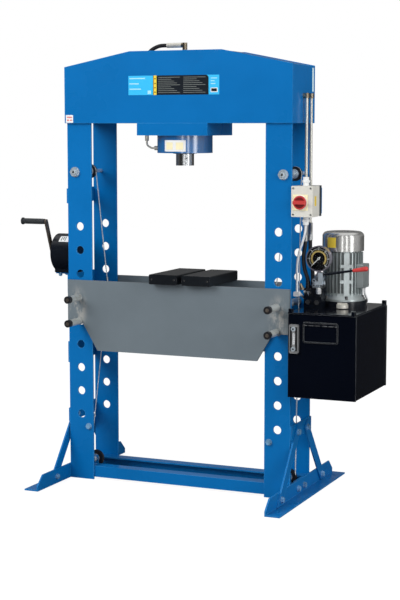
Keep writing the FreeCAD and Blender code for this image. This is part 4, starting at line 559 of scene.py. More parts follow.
def block_mesh(mesh, low, high):
    """Adds a box to a bmesh."""
    corners = [mesh.verts.new((x, y, z)) for x in (low[0], high[0]) for y in (low[1], high[1])
               for z in (low[2], high[2])]
    for a, b, c, d in ((0, 1, 3, 2), (4, 6, 7, 5), (0, 4, 5, 1), (2, 3, 7, 6), (0, 2, 6, 4), (1, 5, 7, 3)):
        mesh.faces.new((corners[a], corners[b], corners[c], corners[d]))


def slab(name, low, high, finish_name, width):
    mesh = bmesh.new()
    block_mesh(mesh, low, high)
    return soften(keep(name, mesh, finish_name), width)


def join_rings(mesh, first, second):
    """Faces between two rings of as many points."""
    for step in range(len(first)):
        after = (step + 1) % len(first)
        mesh.faces.new((first[step], first[after], second[after], second[step]))


def disc(radius, end, rim=None, start=0):
    """Profile of a short plug that tapers to the radius rim."""
    return [(start, 0), (start, radius), (end, radius if rim is None else rim), (end, 0)]


def turned_mesh(mesh, centre, axis, profile, steps=40):
    """Adds a body of revolution; profile holds (distance along the axis, radius)."""
    axis = Vector(axis).normalized()
    side = axis.orthogonal().normalized()
    other = axis.cross(side)
    rings = []
    for along, radius in profile:
        middle = Vector(centre) + axis * along
        if radius < 1e-6:
            rings.append([mesh.verts.new(middle)])
            continue
        turns = (2 * math.pi * step / steps for step in range(steps))
        rings.append([mesh.verts.new(middle + (side * math.cos(turn) + other * math.sin(turn)) * radius)
                      for turn in turns])
    for first, second in zip(rings, rings[1:]):
        if len(first) > 1 and len(second) > 1:
            join_rings(mesh, first, second)
            continue
        for step in range(steps):
            after = (step + 1) % steps
            if len(second) > 1:
                mesh.faces.new((first[0], second[step], second[after]))
            elif len(first) > 1:
                mesh.faces.new((first[step], first[after], second[0]))


def turned(name, centre, axis, profile, finish_name, body="frame", steps=40):
    mesh = bmesh.new()
    turned_mesh(mesh, centre, axis, profile, steps)
    return sharpen(keep(name, mesh, finish_name, body))


def tube_mesh(mesh, points, radius_at, sides=12, twist=0.0, lobes=0, lobe_depth=0.0):
    """Adds a tube along points. Lobes and twist give it rope strands."""
    rings = []
    count = len(points)
    normal = None
    travelled = 0.0
    for index, point in enumerate(points):
        tangent = (points[min(index + 1, count - 1)] - points[max(index - 1, 0)]).normalized()
        if normal is None:
            normal = tangent.orthogonal().normalized()
        else:
            normal = (normal - tangent * normal.dot(tangent)).normalized()
            travelled += (point - points[index - 1]).length
        other = tangent.cross(normal)
        ring = []
        radius = radius_at(index / max(1, count - 1))
        for step in range(sides):
            angle = 2 * math.pi * step / sides
            swell = 1.0
            if lobes:
                swell = 1 - lobe_depth + lobe_depth * abs(math.cos(lobes * angle / 2))
            turn = angle + twist * travelled
            ring.append(mesh.verts.new(point + (normal * math.cos(turn) + other * math.sin(turn))
                                       * radius * swell))
        rings.append(ring)
    for first, second in zip(rings, rings[1:]):
        join_rings(mesh, first, second)
    mesh.faces.new(list(reversed(rings[0])))
    mesh.faces.new(rings[-1])


def weld_bead(name, runs, radius):
    """Rippled weld beads, one tube for each straight run."""
    mesh = bmesh.new()
    for start, end in runs:
        start, end = Vector(start), Vector(end)
        length = (end - start).length
        count = max(4, int(length / 0.004))
        points = [start.lerp(end, index / count) for index in range(count + 1)]

        def swell(t, length=length):
            wave = math.sin(t * length / 0.0042 * math.pi)
            taper = min(1.0, t * length / 0.006, (1 - t) * length / 0.006)
            return radius * (0.72 + 0.16 * wave + 0.12 * math.sin(t * 37.0 + length * 90)) * max(0.25, taper)

        tube_mesh(mesh, points, swell, 8)
    smooth(keep(name, mesh, "frame"))


def bolts(name, places, radius, height, finish_name, washer=0.0):
    """Hexagon heads with chamfered crowns and washers, each pointing along its axis."""
    mesh = bmesh.new()
    for centre, axis in places:
        axis = Vector(axis).normalized()
        side = axis.orthogonal().normalized()
        other = axis.cross(side)
        base = Vector(centre)
        if washer:
            turned_mesh(mesh, base, axis, disc(washer, WASHER_THICKNESS), 24)
            base = base + axis * WASHER_THICKNESS
        rings = [[mesh.verts.new(base + axis * along + (side * math.cos(step * math.pi / 3)
                                 + other * math.sin(step * math.pi / 3)) * radius * size)
                  for step in range(6)]
                 for along, size in ((0, 1.0), (height * 0.82, 1.0), (height, 0.84))]
        for first, second in zip(rings, rings[1:]):
            join_rings(mesh, first, second)
        mesh.faces.new(list(reversed(rings[0])))
        mesh.faces.new(rings[-1])
    keep(name, mesh, finish_name)


def flat_shape(name, outline, thickness, finish_name, body="frame"):
    """A thin plate from an outline of points on one plane that faces the front, in metres."""
    mesh = bmesh.new()
    back = [mesh.verts.new(point) for point in outline]
    front = [mesh.verts.new((x, y - thickness, z)) for x, y, z in outline]
    mesh.faces.new(back)
    mesh.faces.new(list(reversed(front)))
    join_rings(mesh, back, front)
    keep(name, mesh, finish_name, body)


def foil(name, rows, finish_name):
    """A thin bent sheet through rows of two points."""
    mesh = bmesh.new()
    rows = [[mesh.verts.new(point) for point in row] for row in rows]
    for first, second in zip(rows, rows[1:]):
        mesh.faces.new((first[0], second[0], second[1], first[1]))
    thick = keep(name, mesh, finish_name).modifiers.new("Foil", "SOLIDIFY")
    thick.thickness = FOIL_THICKNESS
    thick.offset = 0


def front_middle(node):
    low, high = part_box(node)
    return Vector(((low.x + high.x) / 2, low.y, (low.z + high.z) / 2))


def dress(nodes, finish_name, width=None):
    """Gives CAD nodes their finish and rounds their edges."""
    width = finish().edge_round if width is None else width
    for node in nodes:
        piece = NODES[node]
        piece.data.materials.clear()
        piece.data.materials.append(look(finish_name))
        for polygon in piece.data.polygons:
            polygon.material_index = 0
        if width:
            soften(piece, width)
        else:
            sharpen(piece)


def second_finish(node, finish_name, chosen):
    """Gives a second finish to the faces of a CAD node whose middle the test chosen accepts."""
    piece = NODES[node]
    piece.data.materials.append(look(finish_name))
    index = len(piece.data.materials) - 1
    for polygon in piece.data.polygons:
        if chosen(polygon.center):
            polygon.material_index = index


# ------------------------------------------------------------------ operators
class PressPiece:
    """Shared settings of the operators that dress one group of pieces"""
    bl_options = {"REGISTER", "UNDO"}


class PRESS_OT_stage(PressPiece, bpy.types.Operator):
    """Camera, floor, lamps and even world light"""
    bl_idname = "press.stage"
    bl_label = "Stage"

    # Brightness that shiny surfaces mirror, by compass direction in degrees from +X towards +Y.
    TENT = ((-180, 0.02), (-150, 0.028), (-130, 0.008), (-101, 0.008), (-96, 0.083), (-80, 0.089),
            (-79, 0.75), (-74, 0.75), (-73, 0.089), (-56, 0.089), (-55, 0.9), (-50, 0.9), (-49, 0.083),
            (-30, 0.083), (-29, 1.0), (-17, 1.0), (-15, 0.10), (10, 0.12), (42, 0.02), (60, 0.008),
            (97, 0.008), (125, 0.03), (150, 0.02), (180, 0.02))

    def execute(self, context):
        scene = context.scene
        scene.view_settings.view_transform = "Standard"
        lens = bpy.data.cameras.new("Photo Camera")
        lens.sensor_width = 36
        lens.lens = studio().lens
        camera = bpy.data.objects.new("Photo Camera", lens)
        camera.location = (2.5068, -5.6643, 1.4969)
        camera.rotation_euler = (math.radians(90 - 6.625), 0, math.radians(23.417))
        scene.collection.objects.link(camera)
        scene.camera = camera

        mesh = bmesh.new()
        for x, y in ((-14, -14), (14, -14), (14, 14), (-14, 14)):
            mesh.verts.new((x, y, -0.0005))
        mesh.faces.new(mesh.verts[:])
        floor = from_bmesh("Floor", mesh)
        scene.collection.objects.link(floor)
        floor.data.materials.append(self.floor_finish())
        self.world(scene)
        self.lamp(scene, "Key Lamp", studio().key_power, 3.2, (-2.6, -4.2, 3.6), (0, 0, 0.9))
        self.lamp(scene, "Side Lamp", studio().rim_power, 2.4, (4.2, -1.6, 2.2), (0.2, 0, 0.9))
        return {"FINISHED"}

    def lamp(self, scene, name, power, size, place, aim):
        data = bpy.data.lights.new(name, "AREA")
        data.energy = power
        data.size = size
        lamp = bpy.data.objects.new(name, data)
        lamp.location = place
        lamp.rotation_euler = (Vector(place) - Vector(aim)).to_track_quat("Z", "Y").to_euler()
        lamp.visible_glossy = False
        scene.collection.objects.link(lamp)

    def floor_finish(self):
        """White floor that keeps a faint shadow and that shiny surfaces don't mirror."""
        made = bpy.data.materials.new("Studio Floor")
        made.use_nodes = True
        tree = made.node_tree
        tree.nodes.clear()
        path = tree.nodes.new("ShaderNodeLightPath").outputs
        mottle = noise(tree, position(tree), 30.0, 4.0, 0.6)
        pale = mixed(tree, mottle, (0.80, 0.80, 0.80), (0.84, 0.84, 0.84))
        bounce = mixed(tree, path["Is Diffuse Ray"], pale, (0.40, 0.40, 0.41))
        soft = add(tree, "ShaderNodeBsdfDiffuse", {"Color": bounce})
        glow = add(tree, "ShaderNodeEmission", {"Color": (1, 1, 1, 1), "Strength": 1.13})
        clear = tree.nodes.new("ShaderNodeBsdfTransparent")
        lit = add(tree, "ShaderNodeMixShader", {0: times(tree, path["Is Camera Ray"], 0.82),
                                                1: soft.outputs[0], 2: glow.outputs[0]})
        mix = add(tree, "ShaderNodeMixShader", {0: path["Is Glossy Ray"], 1: lit.outputs[0],
                                                2: clear.outputs[0]})
        add(tree, "ShaderNodeOutputMaterial", {"Surface": mix.outputs[0]})
        return made

    def tent(self, tree):
        """Dark studio with bright upright strips, a lamp from above and a bright backdrop."""
        coords = tree.nodes.new("ShaderNodeTexCoord")
        x, y, z = add(tree, "ShaderNodeSeparateXYZ", {0: coords.outputs["Generated"]}).outputs
        compass = ramp(tree, calc(tree, "ARCTAN2", y, x), -math.pi, math.pi, "LINEAR")
        strips = add(tree, "ShaderNodeValToRGB", {0: compass})
        strips.color_ramp.interpolation = "LINEAR"
        stops = strips.color_ramp.elements
        while len(stops) < len(self.TENT):
            stops.new(0.5)
        for stop, (angle, value) in zip(stops, self.TENT):
            stop.position = (angle + 180) / 360
            stop.color = (value, value, value, 1)
        window = times(tree, ramp(tree, z, -0.75, -0.45), ramp(tree, z, 0.72, 0.45))
        walls = times(tree, times(tree, strips.outputs[0], window), 3.2)
        above = times(tree, ramp(tree, z, 0.55, 0.85), 0.75)
        back = times(tree, ramp(tree, y, 0.25, 0.75), ramp(tree, z, 0.03, 0.09))
        back = times(tree, times(tree, back, ramp(tree, z, 0.75, 0.35)), 0.12)
        return plus(tree, plus(tree, walls, plus(tree, above, back)), 0.006)

    def world(self, scene):
        """Even light for dull surfaces, the tent for shiny ones and white for the camera."""
        world = bpy.data.worlds.new("Studio World")
        scene.world = world
        world.use_nodes = True
        tree = world.node_tree
        tree.nodes.clear()
        path = tree.nodes.new("ShaderNodeLightPath").outputs
        even, shine, white = (
            add(tree, "ShaderNodeBackground", {"Color": (1, 1, 1, 1), "Strength": strength}).outputs[0]
            for strength in (studio().world_light, self.tent(tree), 1.0))
        first = add(tree, "ShaderNodeMixShader", {0: path["Is Glossy Ray"], 1: even, 2: shine})
        seen = calc(tree, "MAXIMUM", path["Is Camera Ray"], path["Is Transmission Ray"])
        second = add(tree, "ShaderNodeMixShader", {0: seen, 1: first.outputs[0], 2: white})
        add(tree, "ShaderNodeOutputWorld", {"Surface": second.outputs[0]})


class PRESS_OT_frame(PressPiece, bpy.types.Operator):
    """Blue paint on the welded frame, with its weld beads, bolts and a pale strip at the head's end that is a
    painted highlight
    """
    bl_idname = "press.frame"
    bl_label = "Frame"

    def execute(self, context):
        dress(["posts_left", "posts_right", "head_front_plate", "head_rear_plate", "head_closing_plates",
               "cylinder_mount", "frame_brackets", "foot_left", "foot_right", "braces", "base_beams",
               "winch_bracket"], "frame")
        for node in ("head_front_plate", "head_closing_plates", "posts_right", "base_beams"):
            NODES[node].modifiers["Rounded edges"].width = finish().edge_round * 2
        dress(["frame_bolts"], "frame_bolt", 0.0015)
        dress(["pulley_axles"], "bolt", 0.0015)
        self.welds()
        self.axle_heads()
        low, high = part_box("head_closing_plates")
        # pale strip at the rear edge of the head's end plate: painted highlight
        slab("head_end_highlight", (high.x - 0.0004, high.y - 0.020, 1.640),
             (high.x + 0.0001, high.y - 0.0035, high.z - 0.068), "seam", 0.0001)
        return {"FINISHED"}

    def axle_heads(self):
        """Six-sided crowns on the front heads of the pulley axles, each with a dark disc for its socket,
        which is painted shade.
        """
        places = []
        points = [v.co for v in NODES["pulley_axles"].data.vertices]
        for side in (-1, 1):
            for upper in (False, True):
                group = [p for p in points if p.x * side > 0 and (p.z > 0.7) == upper]
                front = min(p.y for p in group)
                face = [p for p in group if p.y < front + 0.0004]
                middle = sum(face, Vector()) / len(face)
                places.append(((middle.x, front - 0.0002, middle.z), FRONT))
        bolts("axle_crowns", places, 0.0112, 0.0040, "bolt")
        # dark disc where the socket is: painted shade
        mesh = bmesh.new()
        for centre, axis in places:
            turned_mesh(mesh, Vector(centre) + Vector(axis) * 0.0036, axis, disc(0.0048, 0.0006, 0.0046), 20)
        keep("axle_socket_shade", mesh, "iron")

    def welds(self):
        front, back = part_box("head_front_plate"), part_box("head_rear_plate")
        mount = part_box("cylinder_mount")
        weld_bead("head_welds", [((x, y, 1.52), (x, y, 1.735))
                                 for x in (front[0].x + 0.0008, front[1].x - 0.0008)
                                 for y in (front[1].y, back[0].y)], finish().bead_radius)
        z = mount[1].z
        runs = [((mount[0].x, y, z), (mount[1].x, y, z)) for y in (mount[0].y + 0.001, mount[1].y - 0.001)]
        runs += [((x, -0.11, z - 0.001), (x, 0.11, z - 0.001)) for x in (mount[0].x, mount[1].x)]
        weld_bead("mount_welds", runs, THIN_BEAD)
        runs = []
        for side in (-1, 1):
            for end in (-1, 1):
                x = side * 0.500 + side * 0.0045
                y = end * 0.1205
                for low, high in ((0.245, 0.302), (0.5, 0.59), (1.178, 1.24)):
                    runs.append(((x, y, low + 0.006), (x, y, high - 0.006)))
                runs.append(((side * 0.3895, end * 0.1135, 0.014), (side * 0.3895, end * 0.1135, 0.054)))
        weld_bead("post_welds", runs, finish().bead_radius)


class PRESS_OT_cylinder(PressPiece, bpy.types.Operator):
    """Cylinder housing, barrel and chromed ram"""
    bl_idname = "press.cylinder"
    bl_label = "Cylinder"

    def execute(self, context):
        dress(["cylinder_housing"], "housing", 0.002)
        dress(["cylinder_barrel"], "frame", 0.002)
        dress(["ram"], "chrome", 0.0015)
        low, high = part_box("cylinder_housing")
        centre = ((low.x + high.x) / 2, 0, low.z)
        turned("ram_seal", centre, (0, 0, -1), [(0, 0.0382), (0, 0.050), (0.003, 0.049), (0.004, 0.0386),
                                               (0, 0.0382)], "rubber", steps=48)
        self.label(Vector(centre), (high.x - low.x) / 2)
        return {"FINISHED"}

    def label(self, centre, radius):
        """White label with two plain yellow fields, bent round the housing."""
        middle_angle = math.radians(-88.2)
        half = 0.412
        for name, u0, u1, v0, v1, finish_name, lift in (
                ("", -1, 1, 0.007, 0.053, "paper", 0.0004),
                ("_field_left", -0.80, -0.16, 0.015, 0.044, "pale_yellow", 0.0009),
                ("_field_right", 0.14, 0.78, 0.015, 0.044, "pale_yellow", 0.0009)):
            outer = radius + lift
            angles = [middle_angle + (u0 + (u1 - u0) * index / 14) * half for index in range(15)]
            foil("cylinder_label" + name,
                 [[(centre.x + outer * math.cos(angle), outer * math.sin(angle), centre.z + v)
                   for v in (v0, v1)] for angle in angles], finish_name)


class PRESS_OT_head_labels(PressPiece, bpy.types.Operator):
    """Blue and black label of the head and its small corner sticker"""
    bl_idname = "press.head_labels"
    bl_label = "Head Labels"

    def execute(self, context):
        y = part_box("head_front_plate")[0].y - 0.0001
        self.y = y
        low, high, split, right = 1.627, 1.705, -0.097, 0.149
        chamfer = 0.008

        def field(name, x0, x1, z0, z1, finish_name, lift=0.0):
            outline = [(x0, y - lift, z0), (x1, y - lift, z0), (x1, y - lift, z1), (x0, y - lift, z1)]
            flat_shape(name, outline, 0.0003, finish_name)

        field("label_cyan_left", -0.208, split, low, high, "cyan")
        field("label_cyan_right", right, 0.195, low, high, "cyan")
        cut = [(right, y, high - chamfer), (right, y, high), (right - chamfer, y, high)]
        flat_shape("label_black", [(split, y, low), (right, y, low), cut[0], cut[2], (split, y, high)],
                   0.0003, "ink")
        flat_shape("label_cyan_corner", cut, 0.0003, "cyan")
        field("label_yellow_bar", -0.094, -0.081, low, high, "yellow", 0.0003)
        self.rows("label_rows_left", -0.074, 0.026, 1.697, 9, 0.0076, 0.0010, "ink_grey")
        mesh = bmesh.new()
        for z in (1.692, 1.673, 1.656, 1.638):
            turned_mesh(mesh, (-0.0876, y - 0.0004, z), FRONT, disc(0.0030, 0.0004, 0.0028), 16)
        keep("label_rows_left_dots", mesh, "ink")
        self.rows("label_rows_right", 0.038, 0.138, 1.697, 9, 0.0076, 0.0010, "ink_grey")
        self.rows("label_bars_left", -0.203, -0.130, 1.694, 3, 0.0215, 0.0022, "label_pale")
        self.rows("label_bars_right", 0.158, 0.187, 1.692, 3, 0.0110, 0.0018, "label_pale")
        field("label_frame_right", 0.158, 0.188, 1.636, 1.654, "paper", 0.0003)
        field("label_field_right", 0.161, 0.185, 1.639, 1.651, "ink", 0.0006)
        field("label_field_left", -0.121, -0.106, 1.631, 1.645, "label_pale", 0.0003)
        field("corner_sticker", -0.500, -0.466, 1.515, 1.547, "paper")
        mesh = bmesh.new()
        for x0, x1, z in ((-0.495, -0.471, 1.538), (-0.495, -0.484, 1.526), (-0.480, -0.471, 1.526)):
            block_mesh(mesh, (x0, y - 0.0006, z - 0.0035), (x1, y - 0.0003, z + 0.0025))
        keep("corner_sticker_marks", mesh, "ink_red")
        return {"FINISHED"}

    def rows(self, name, x0, x1, top, count, pitch, half, finish_name):
        """Plain bars of uneven lengths, one below the other."""
        mesh = bmesh.new()
        for index in range(count):
            z = top - index * pitch
            length = (x1 - x0) * (0.97 - 0.13 * ((index * 3) % 4))
            block_mesh(mesh, (x0, self.y - 0.0006, z - half), (x0 + length, self.y - 0.0003, z + half))
        keep(name, mesh, finish_name)


class PRESS_OT_table(PressPiece, bpy.types.Operator):
    """Grey work table, locking pins and black press blocks"""
    bl_idname = "press.table"
    bl_label = "Work Table"

    def execute(self, context):
        dress(["table_front_plate", "table_rear_plate", "table_cross_plates"], "table", 0.0012)
        second_finish("table_cross_plates", "satin", lambda c: abs(c.x) > 0.3785)
        dress(BLOCKS, "block", 0.0015)
        dress(PINS, "pin", 0.0012)
        for pin in PINS:
            second_finish(pin, "wheel", lambda c: c.y < -0.2218)
            turned(pin + "_button", front_middle(pin), FRONT, disc(0.0078, 0.0002, 0.0074, -0.001), "crank",
                   body=pin, steps=24)
        mesh = bmesh.new()
        for block in BLOCKS:
            low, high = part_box(block)
            for x in (low.x + 0.012, high.x - 0.012):
                turned_mesh(mesh, (x, low.y + 0.004, (low.z + high.z) / 2), FRONT,
                            [(0, 0), (0, 0.0039), (0.0035, 0.0039), (0.0042, 0.003), (0.0042, 0)], 20)
        keep("block_dowels", mesh, "iron", "table")
        return {"FINISHED"}


class PRESS_OT_ropes(PressPiece, bpy.types.Operator):
    """Steel ropes, their crimps and the rope pulleys"""
    bl_idname = "press.ropes"
    bl_label = "Ropes and Pulleys"

    def execute(self, context):
        dress(["winch_rope", "cross_rope"], "rope", 0)
        dress(PULLEYS, "wheel", 0.0008)
        for node in ("lift_rope_left", "lift_rope_right", "return_rope_left"):
            self.stretch(node)
        for node in PULLEYS:
            turned(node + "_hub", front_middle(node), FRONT,
                   [(-0.001, 0.0086), (-0.001, 0.0190), (0.0001, 0.0190), (0.0004, 0.0150), (0.0002, 0.0086),
                    (-0.001, 0.0086)], "bolt", body=node, steps=32)
        return {"FINISHED"}

    def ends(self, node):
        """Middle points of the upper and the lower end of a straight rope node."""
        points = [v.co.copy() for v in NODES[node].data.vertices]
        top = max(p.z for p in points)
        low = min(p.z for p in points)
        for end in ([p for p in points if p.z > top - 0.004], [p for p in points if p.z < low + 0.004]):
            yield sum(end, Vector()) / len(end)

    def stretch(self, node):
        """A twisted rope between the ends of the rope node, with a crimp at its moving end."""
        top, low = self.ends(node)
        radius = finish().rope_radius
        count = int((top - low).length / 0.004)
        points = [top.lerp(low, index / count) for index in range(count + 1)]
        mesh = bmesh.new()
        tube_mesh(mesh, points, lambda t: radius, 18, twist=2 * math.pi / 0.034, lobes=6, lobe_depth=0.16)
        piece = smooth(keep(node + "_strands", mesh, "rope", None))
        fixed, moving = (top, low) if node.startswith("lift") else (low, top)
        along = (moving - fixed).normalized()
        mesh = bmesh.new()
        turned_mesh(mesh, moving - along * 0.002, -along,
                    [(0, 0), (0, radius * 1.75), (0.003, radius * 1.9), (0.026, radius * 1.9),
                     (0.030, radius * 1.4), (0.031, 0)], 18)
        smooth(keep(node + "_crimp", mesh, "zinc", "table"))
        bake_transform(piece)
        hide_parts(node)


class PRESS_OT_winch(PressPiece, bpy.types.Operator):
    """Hand winch with drum, crank and turning grip"""
    bl_idname = "press.winch"
    bl_label = "Hand Winch"

    def execute(self, context):
        dress(["winch_housing"], "satin", 0.0015)
        dress(["winch_drum"], "rope", 0.0004)
        dress(["crank_arm"], "crank", 0.0012)
        second_finish("crank_arm", "satin", lambda c: c.z < 0.94)
        dress(["crank_grip"], "grip", 0.001)
        self.grip_rings()
        self.label()
        return {"FINISHED"}

    def grip_rings(self):
        low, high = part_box("crank_grip")
        start, end, count = 0.012, 0.098, 16
        step = (end - start) / count
        core, rib = 0.01145, 0.0121
        profile = [(start, 0.0110)]
        for index in range(count):
            along = start + (end - start) * index / count
            profile += [(along, core), (along + step * 0.15, rib), (along + step * 0.75, rib),
                        (along + step * 0.9, core)]
        profile.append((end, 0.0110))
        turned("crank_grip_rings", (high.x, (low.y + high.y) / 2, (low.z + high.z) / 2), (-1, 0, 0), profile,
               "grip", body="crank_grip", steps=36)

    def label(self):
        """Small white label with plain lines, bent over the top of the housing."""
        y0, z0, radius = -0.020, 0.961, 0.081
        for name, a0, a1, x0, x1, finish_name, lift in (
                ("", 118, 142, -0.568, -0.512, "paper", 0.0004),
                ("_line_1", 121, 138, -0.560, -0.556, "ink_grey", 0.0008),
                ("_line_2", 121, 134, -0.551, -0.547, "ink_grey", 0.0008),
                ("_line_3", 121, 139, -0.542, -0.538, "ink_grey", 0.0008),
                ("_stripe", 120, 140, -0.524, -0.519, "ink_red", 0.0008)):
            angles = [math.radians(a0 + (a1 - a0) * index / 8) for index in range(9)]
            foil("winch_label" + name,
                 [[(x, y0 + (radius + lift) * math.cos(angle), z0 + (radius + lift) * math.sin(angle))
                   for x in (x0, x1)] for angle in angles], finish_name)


class PRESS_OT_power_unit(PressPiece, bpy.types.Operator):
    """Oil tank, motor, pump and valve block of the power unit"""
    bl_idname = "press.power_unit"
    bl_label = "Power Unit"

    def execute(self, context):
        for node, finish_name, width in (
                ("tank_body", "tank", 0.0026), ("tank_lid", "tank", 0.0026), ("motor_body", "motor", 0.0008),
                ("fan_cover", "cover", 0.0008), ("motor_rotor", "zinc", 0.0006),
                ("filler_cap", "pipe", 0.0010), ("oil_pump", "iron", 0.001), ("valve_block", "satin", 0.001),
                ("valve_stack", "zinc", 0.0008), ("valve_lever", "satin", 0.0004)):
            dress([node], finish_name, width)
        second_finish("motor_body", "satin", lambda c: c.z < 0.7952)
        # painted shade: the faces between the fins take the darker groove finish
        second_finish("motor_body", "groove", lambda c: 0.828 < c.z < 0.991 and math.hypot(
            c.x - MOTOR_X, c.y - MOTOR_Y) < 0.0757)
        second_finish("valve_stack", "bolt", lambda c: c.y < 0.0008)
        second_finish("valve_block", "zinc", lambda c: c.z > 0.8301 and c.y < -0.0056)
        second_finish("valve_block", "iron", lambda c: c.y < -0.0136 and c.z < 0.812)
        second_finish("valve_lever", "red", lambda c: c.x > 0.7245)
        self.fan_field()
        self.motor_bolts()
        self.valve_sockets()
        self.tank_panel()
        return {"FINISHED"}

    def fan_field(self):
        """Plain yellow field on the fan cover."""
        radius, half = 0.0855, 0.235
        angles = [math.radians(-106) + (index / 8 - 1) * half for index in range(17)]
        foil("fan_cover_field",
             [[(MOTOR_X + radius * math.cos(angle), MOTOR_Y + radius * math.sin(angle), z)
               for z in (1.013, 1.054)] for angle in angles], "yellow")

    def motor_bolts(self):
        """Dark bolts on the motor's end shield and screws on its terminal box."""
        circle = 0.0855
        angles = [math.radians(turn) for turn in (0, -62, -122, 180, 118, 58)]
        bolts("motor_shield_bolts",
              [((MOTOR_X + circle * math.cos(angle), MOTOR_Y + circle * math.sin(angle), 0.8025), UP)
               for angle in angles], 0.0068, 0.012, "iron", 0.0090)
        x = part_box("motor_body")[1].x - 0.0002
        bolts("terminal_box_screws", [((x, MOTOR_Y + side * 0.032, z), (1, 0, 0)) for side in (-1, 1)
                                      for z in (0.857, 0.936)], 0.0034, 0.0014, "iron")

    def valve_sockets(self):
        """Round ports on the front of the valve stack, each with a dark disc in its bore as painted shade,
        and small parts of the block; the knob's white top is a painted highlight.
        """
        front = 0.001
        for name, x, z, radius in (("upper", 0.555, 0.8815, 0.0085), ("lower", 0.555, 0.8620, 0.0070),
                                   ("middle", 0.573, 0.8575, 0.0060)):
            turned("stack_port_" + name, (x, front, z), FRONT,
                   [(-0.001, 0), (-0.001, radius), (0.004, radius), (0.005, radius * 0.88),
                    (0.005, radius * 0.55), (0.001, radius * 0.50), (0.001, 0)], "bolt",
                   steps=28)
            # black disc in each bore: painted shade
            turned("stack_bore_shade_" + name, (x, front - 0.0011, z), FRONT,
                   disc(radius * 0.47, 0.0006, radius * 0.45), "wheel", steps=24)
        for name, z0, z1 in (("stack_seam", 0.8832, 0.8868), ("stack_foot_seam", 0.8502, 0.8530)):
            slab(name, (0.5474, 0.0004, z0), (0.5906, 0.0396, z1), "iron", 0.0003)
        x, y = 0.5795, -0.014
        # white cap on the knob's top: painted highlight
        turned("setting_knob_top_highlight", (x, y, 0.8528), UP, [(0, 0), (0, 0.0090), (0.0016, 0.0082), (0.0020, 0)],
               "gland", steps=32)
        ridges = bmesh.new()
        for index in range(24):
            angle = 2 * math.pi * index / 24
            turned_mesh(ridges, (x + 0.0095 * math.cos(angle), y + 0.0095 * math.sin(angle), 0.831), UP,
                        disc(0.0007, 0.018), 6)
        keep("setting_knob_ridges", ridges, "zinc")
        turned("block_screw", (0.517, -0.0048, 0.836), FRONT,
               [(0, 0), (0, 0.0044), (0.0022, 0.0040), (0.0026, 0)], "gland", steps=24)
        turned("block_gland", (0.5125, -0.0180, 0.846), (-0.25, -0.25, 0.93),
               [(0, 0), (0, 0.0085), (0.010, 0.0085), (0.011, 0.0066), (0.026, 0.0052), (0.027, 0)],
               "brass", steps=28)

    def tank_panel(self):
        """Pressed panel on the tank's front: a raised rim, with pale drops and lumps along its top and a pale
        line under it that are painted highlights.
        """
        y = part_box("tank_body")[0].y - 0.0002
        x0, x1, z0, z1 = 0.5700, 0.7120, 0.6540, 0.7330
        corner = 0.008
        loop = []
        for cx, cz, start in ((x1 - corner, z1 - corner, 0), (x0 + corner, z1 - corner, 90),
                              (x0 + corner, z0 + corner, 180), (x1 - corner, z0 + corner, 270)):
            for step in range(5):
                angle = math.radians(start + step * 22.5)
                loop.append(Vector((cx + corner * math.cos(angle), y, cz + corner * math.sin(angle))))
        loop.append(loop[0].copy())
        mesh = bmesh.new()
        tube_mesh(mesh, loop, lambda t: 0.0013 + 0.0006 * math.sin(t * 44.0) ** 2, 10)
        smooth(keep("tank_panel_rim", mesh, "wet_black"))
        # the line, drops and lumps in pale metal paint the panel's highlights
        mesh = bmesh.new()
        points = [Vector((x0 + corner + (x1 - x0 - 0.016) * step / 30, y - 0.0004, z0 - 0.0006))
                  for step in range(31)]
        tube_mesh(mesh, points, lambda t: 0.0016 * (0.6 + 0.4 * math.sin(math.pi * t)), 10)
        for index in range(12):
            size = 0.0022 + 0.0010 * math.sin(index * 2.3) ** 2
            centre = (x0 + 0.004 + index * 0.0121, y, z1 + 0.0012 * math.sin(index * 1.7))
            turned_mesh(mesh, centre, FRONT, [(-0.001, size), (0.0008, size * 0.94), (0.0018, size * 0.6),
                                              (0.0022, 0)], 14)
        for start, end in ((0.002, 0.015), (0.020, 0.043), (0.048, 0.070), (0.078, 0.098), (0.104, 0.126),
                           (0.130, 0.140)):
            points = [Vector((x0 + start + (end - start) * step / 10, y, z1 - 0.0115 + 0.0012 * math.sin(
                step * 1.9 + start * 90))) for step in range(11)]
            tube_mesh(mesh, points, lambda t: 0.0030 * (0.35 + 0.65 * math.sin(math.pi * t) ** 0.5)
                      * (0.85 + 0.15 * math.sin(t * 19.0)), 12)
        smooth(keep("tank_panel_highlights", mesh, "shine"))


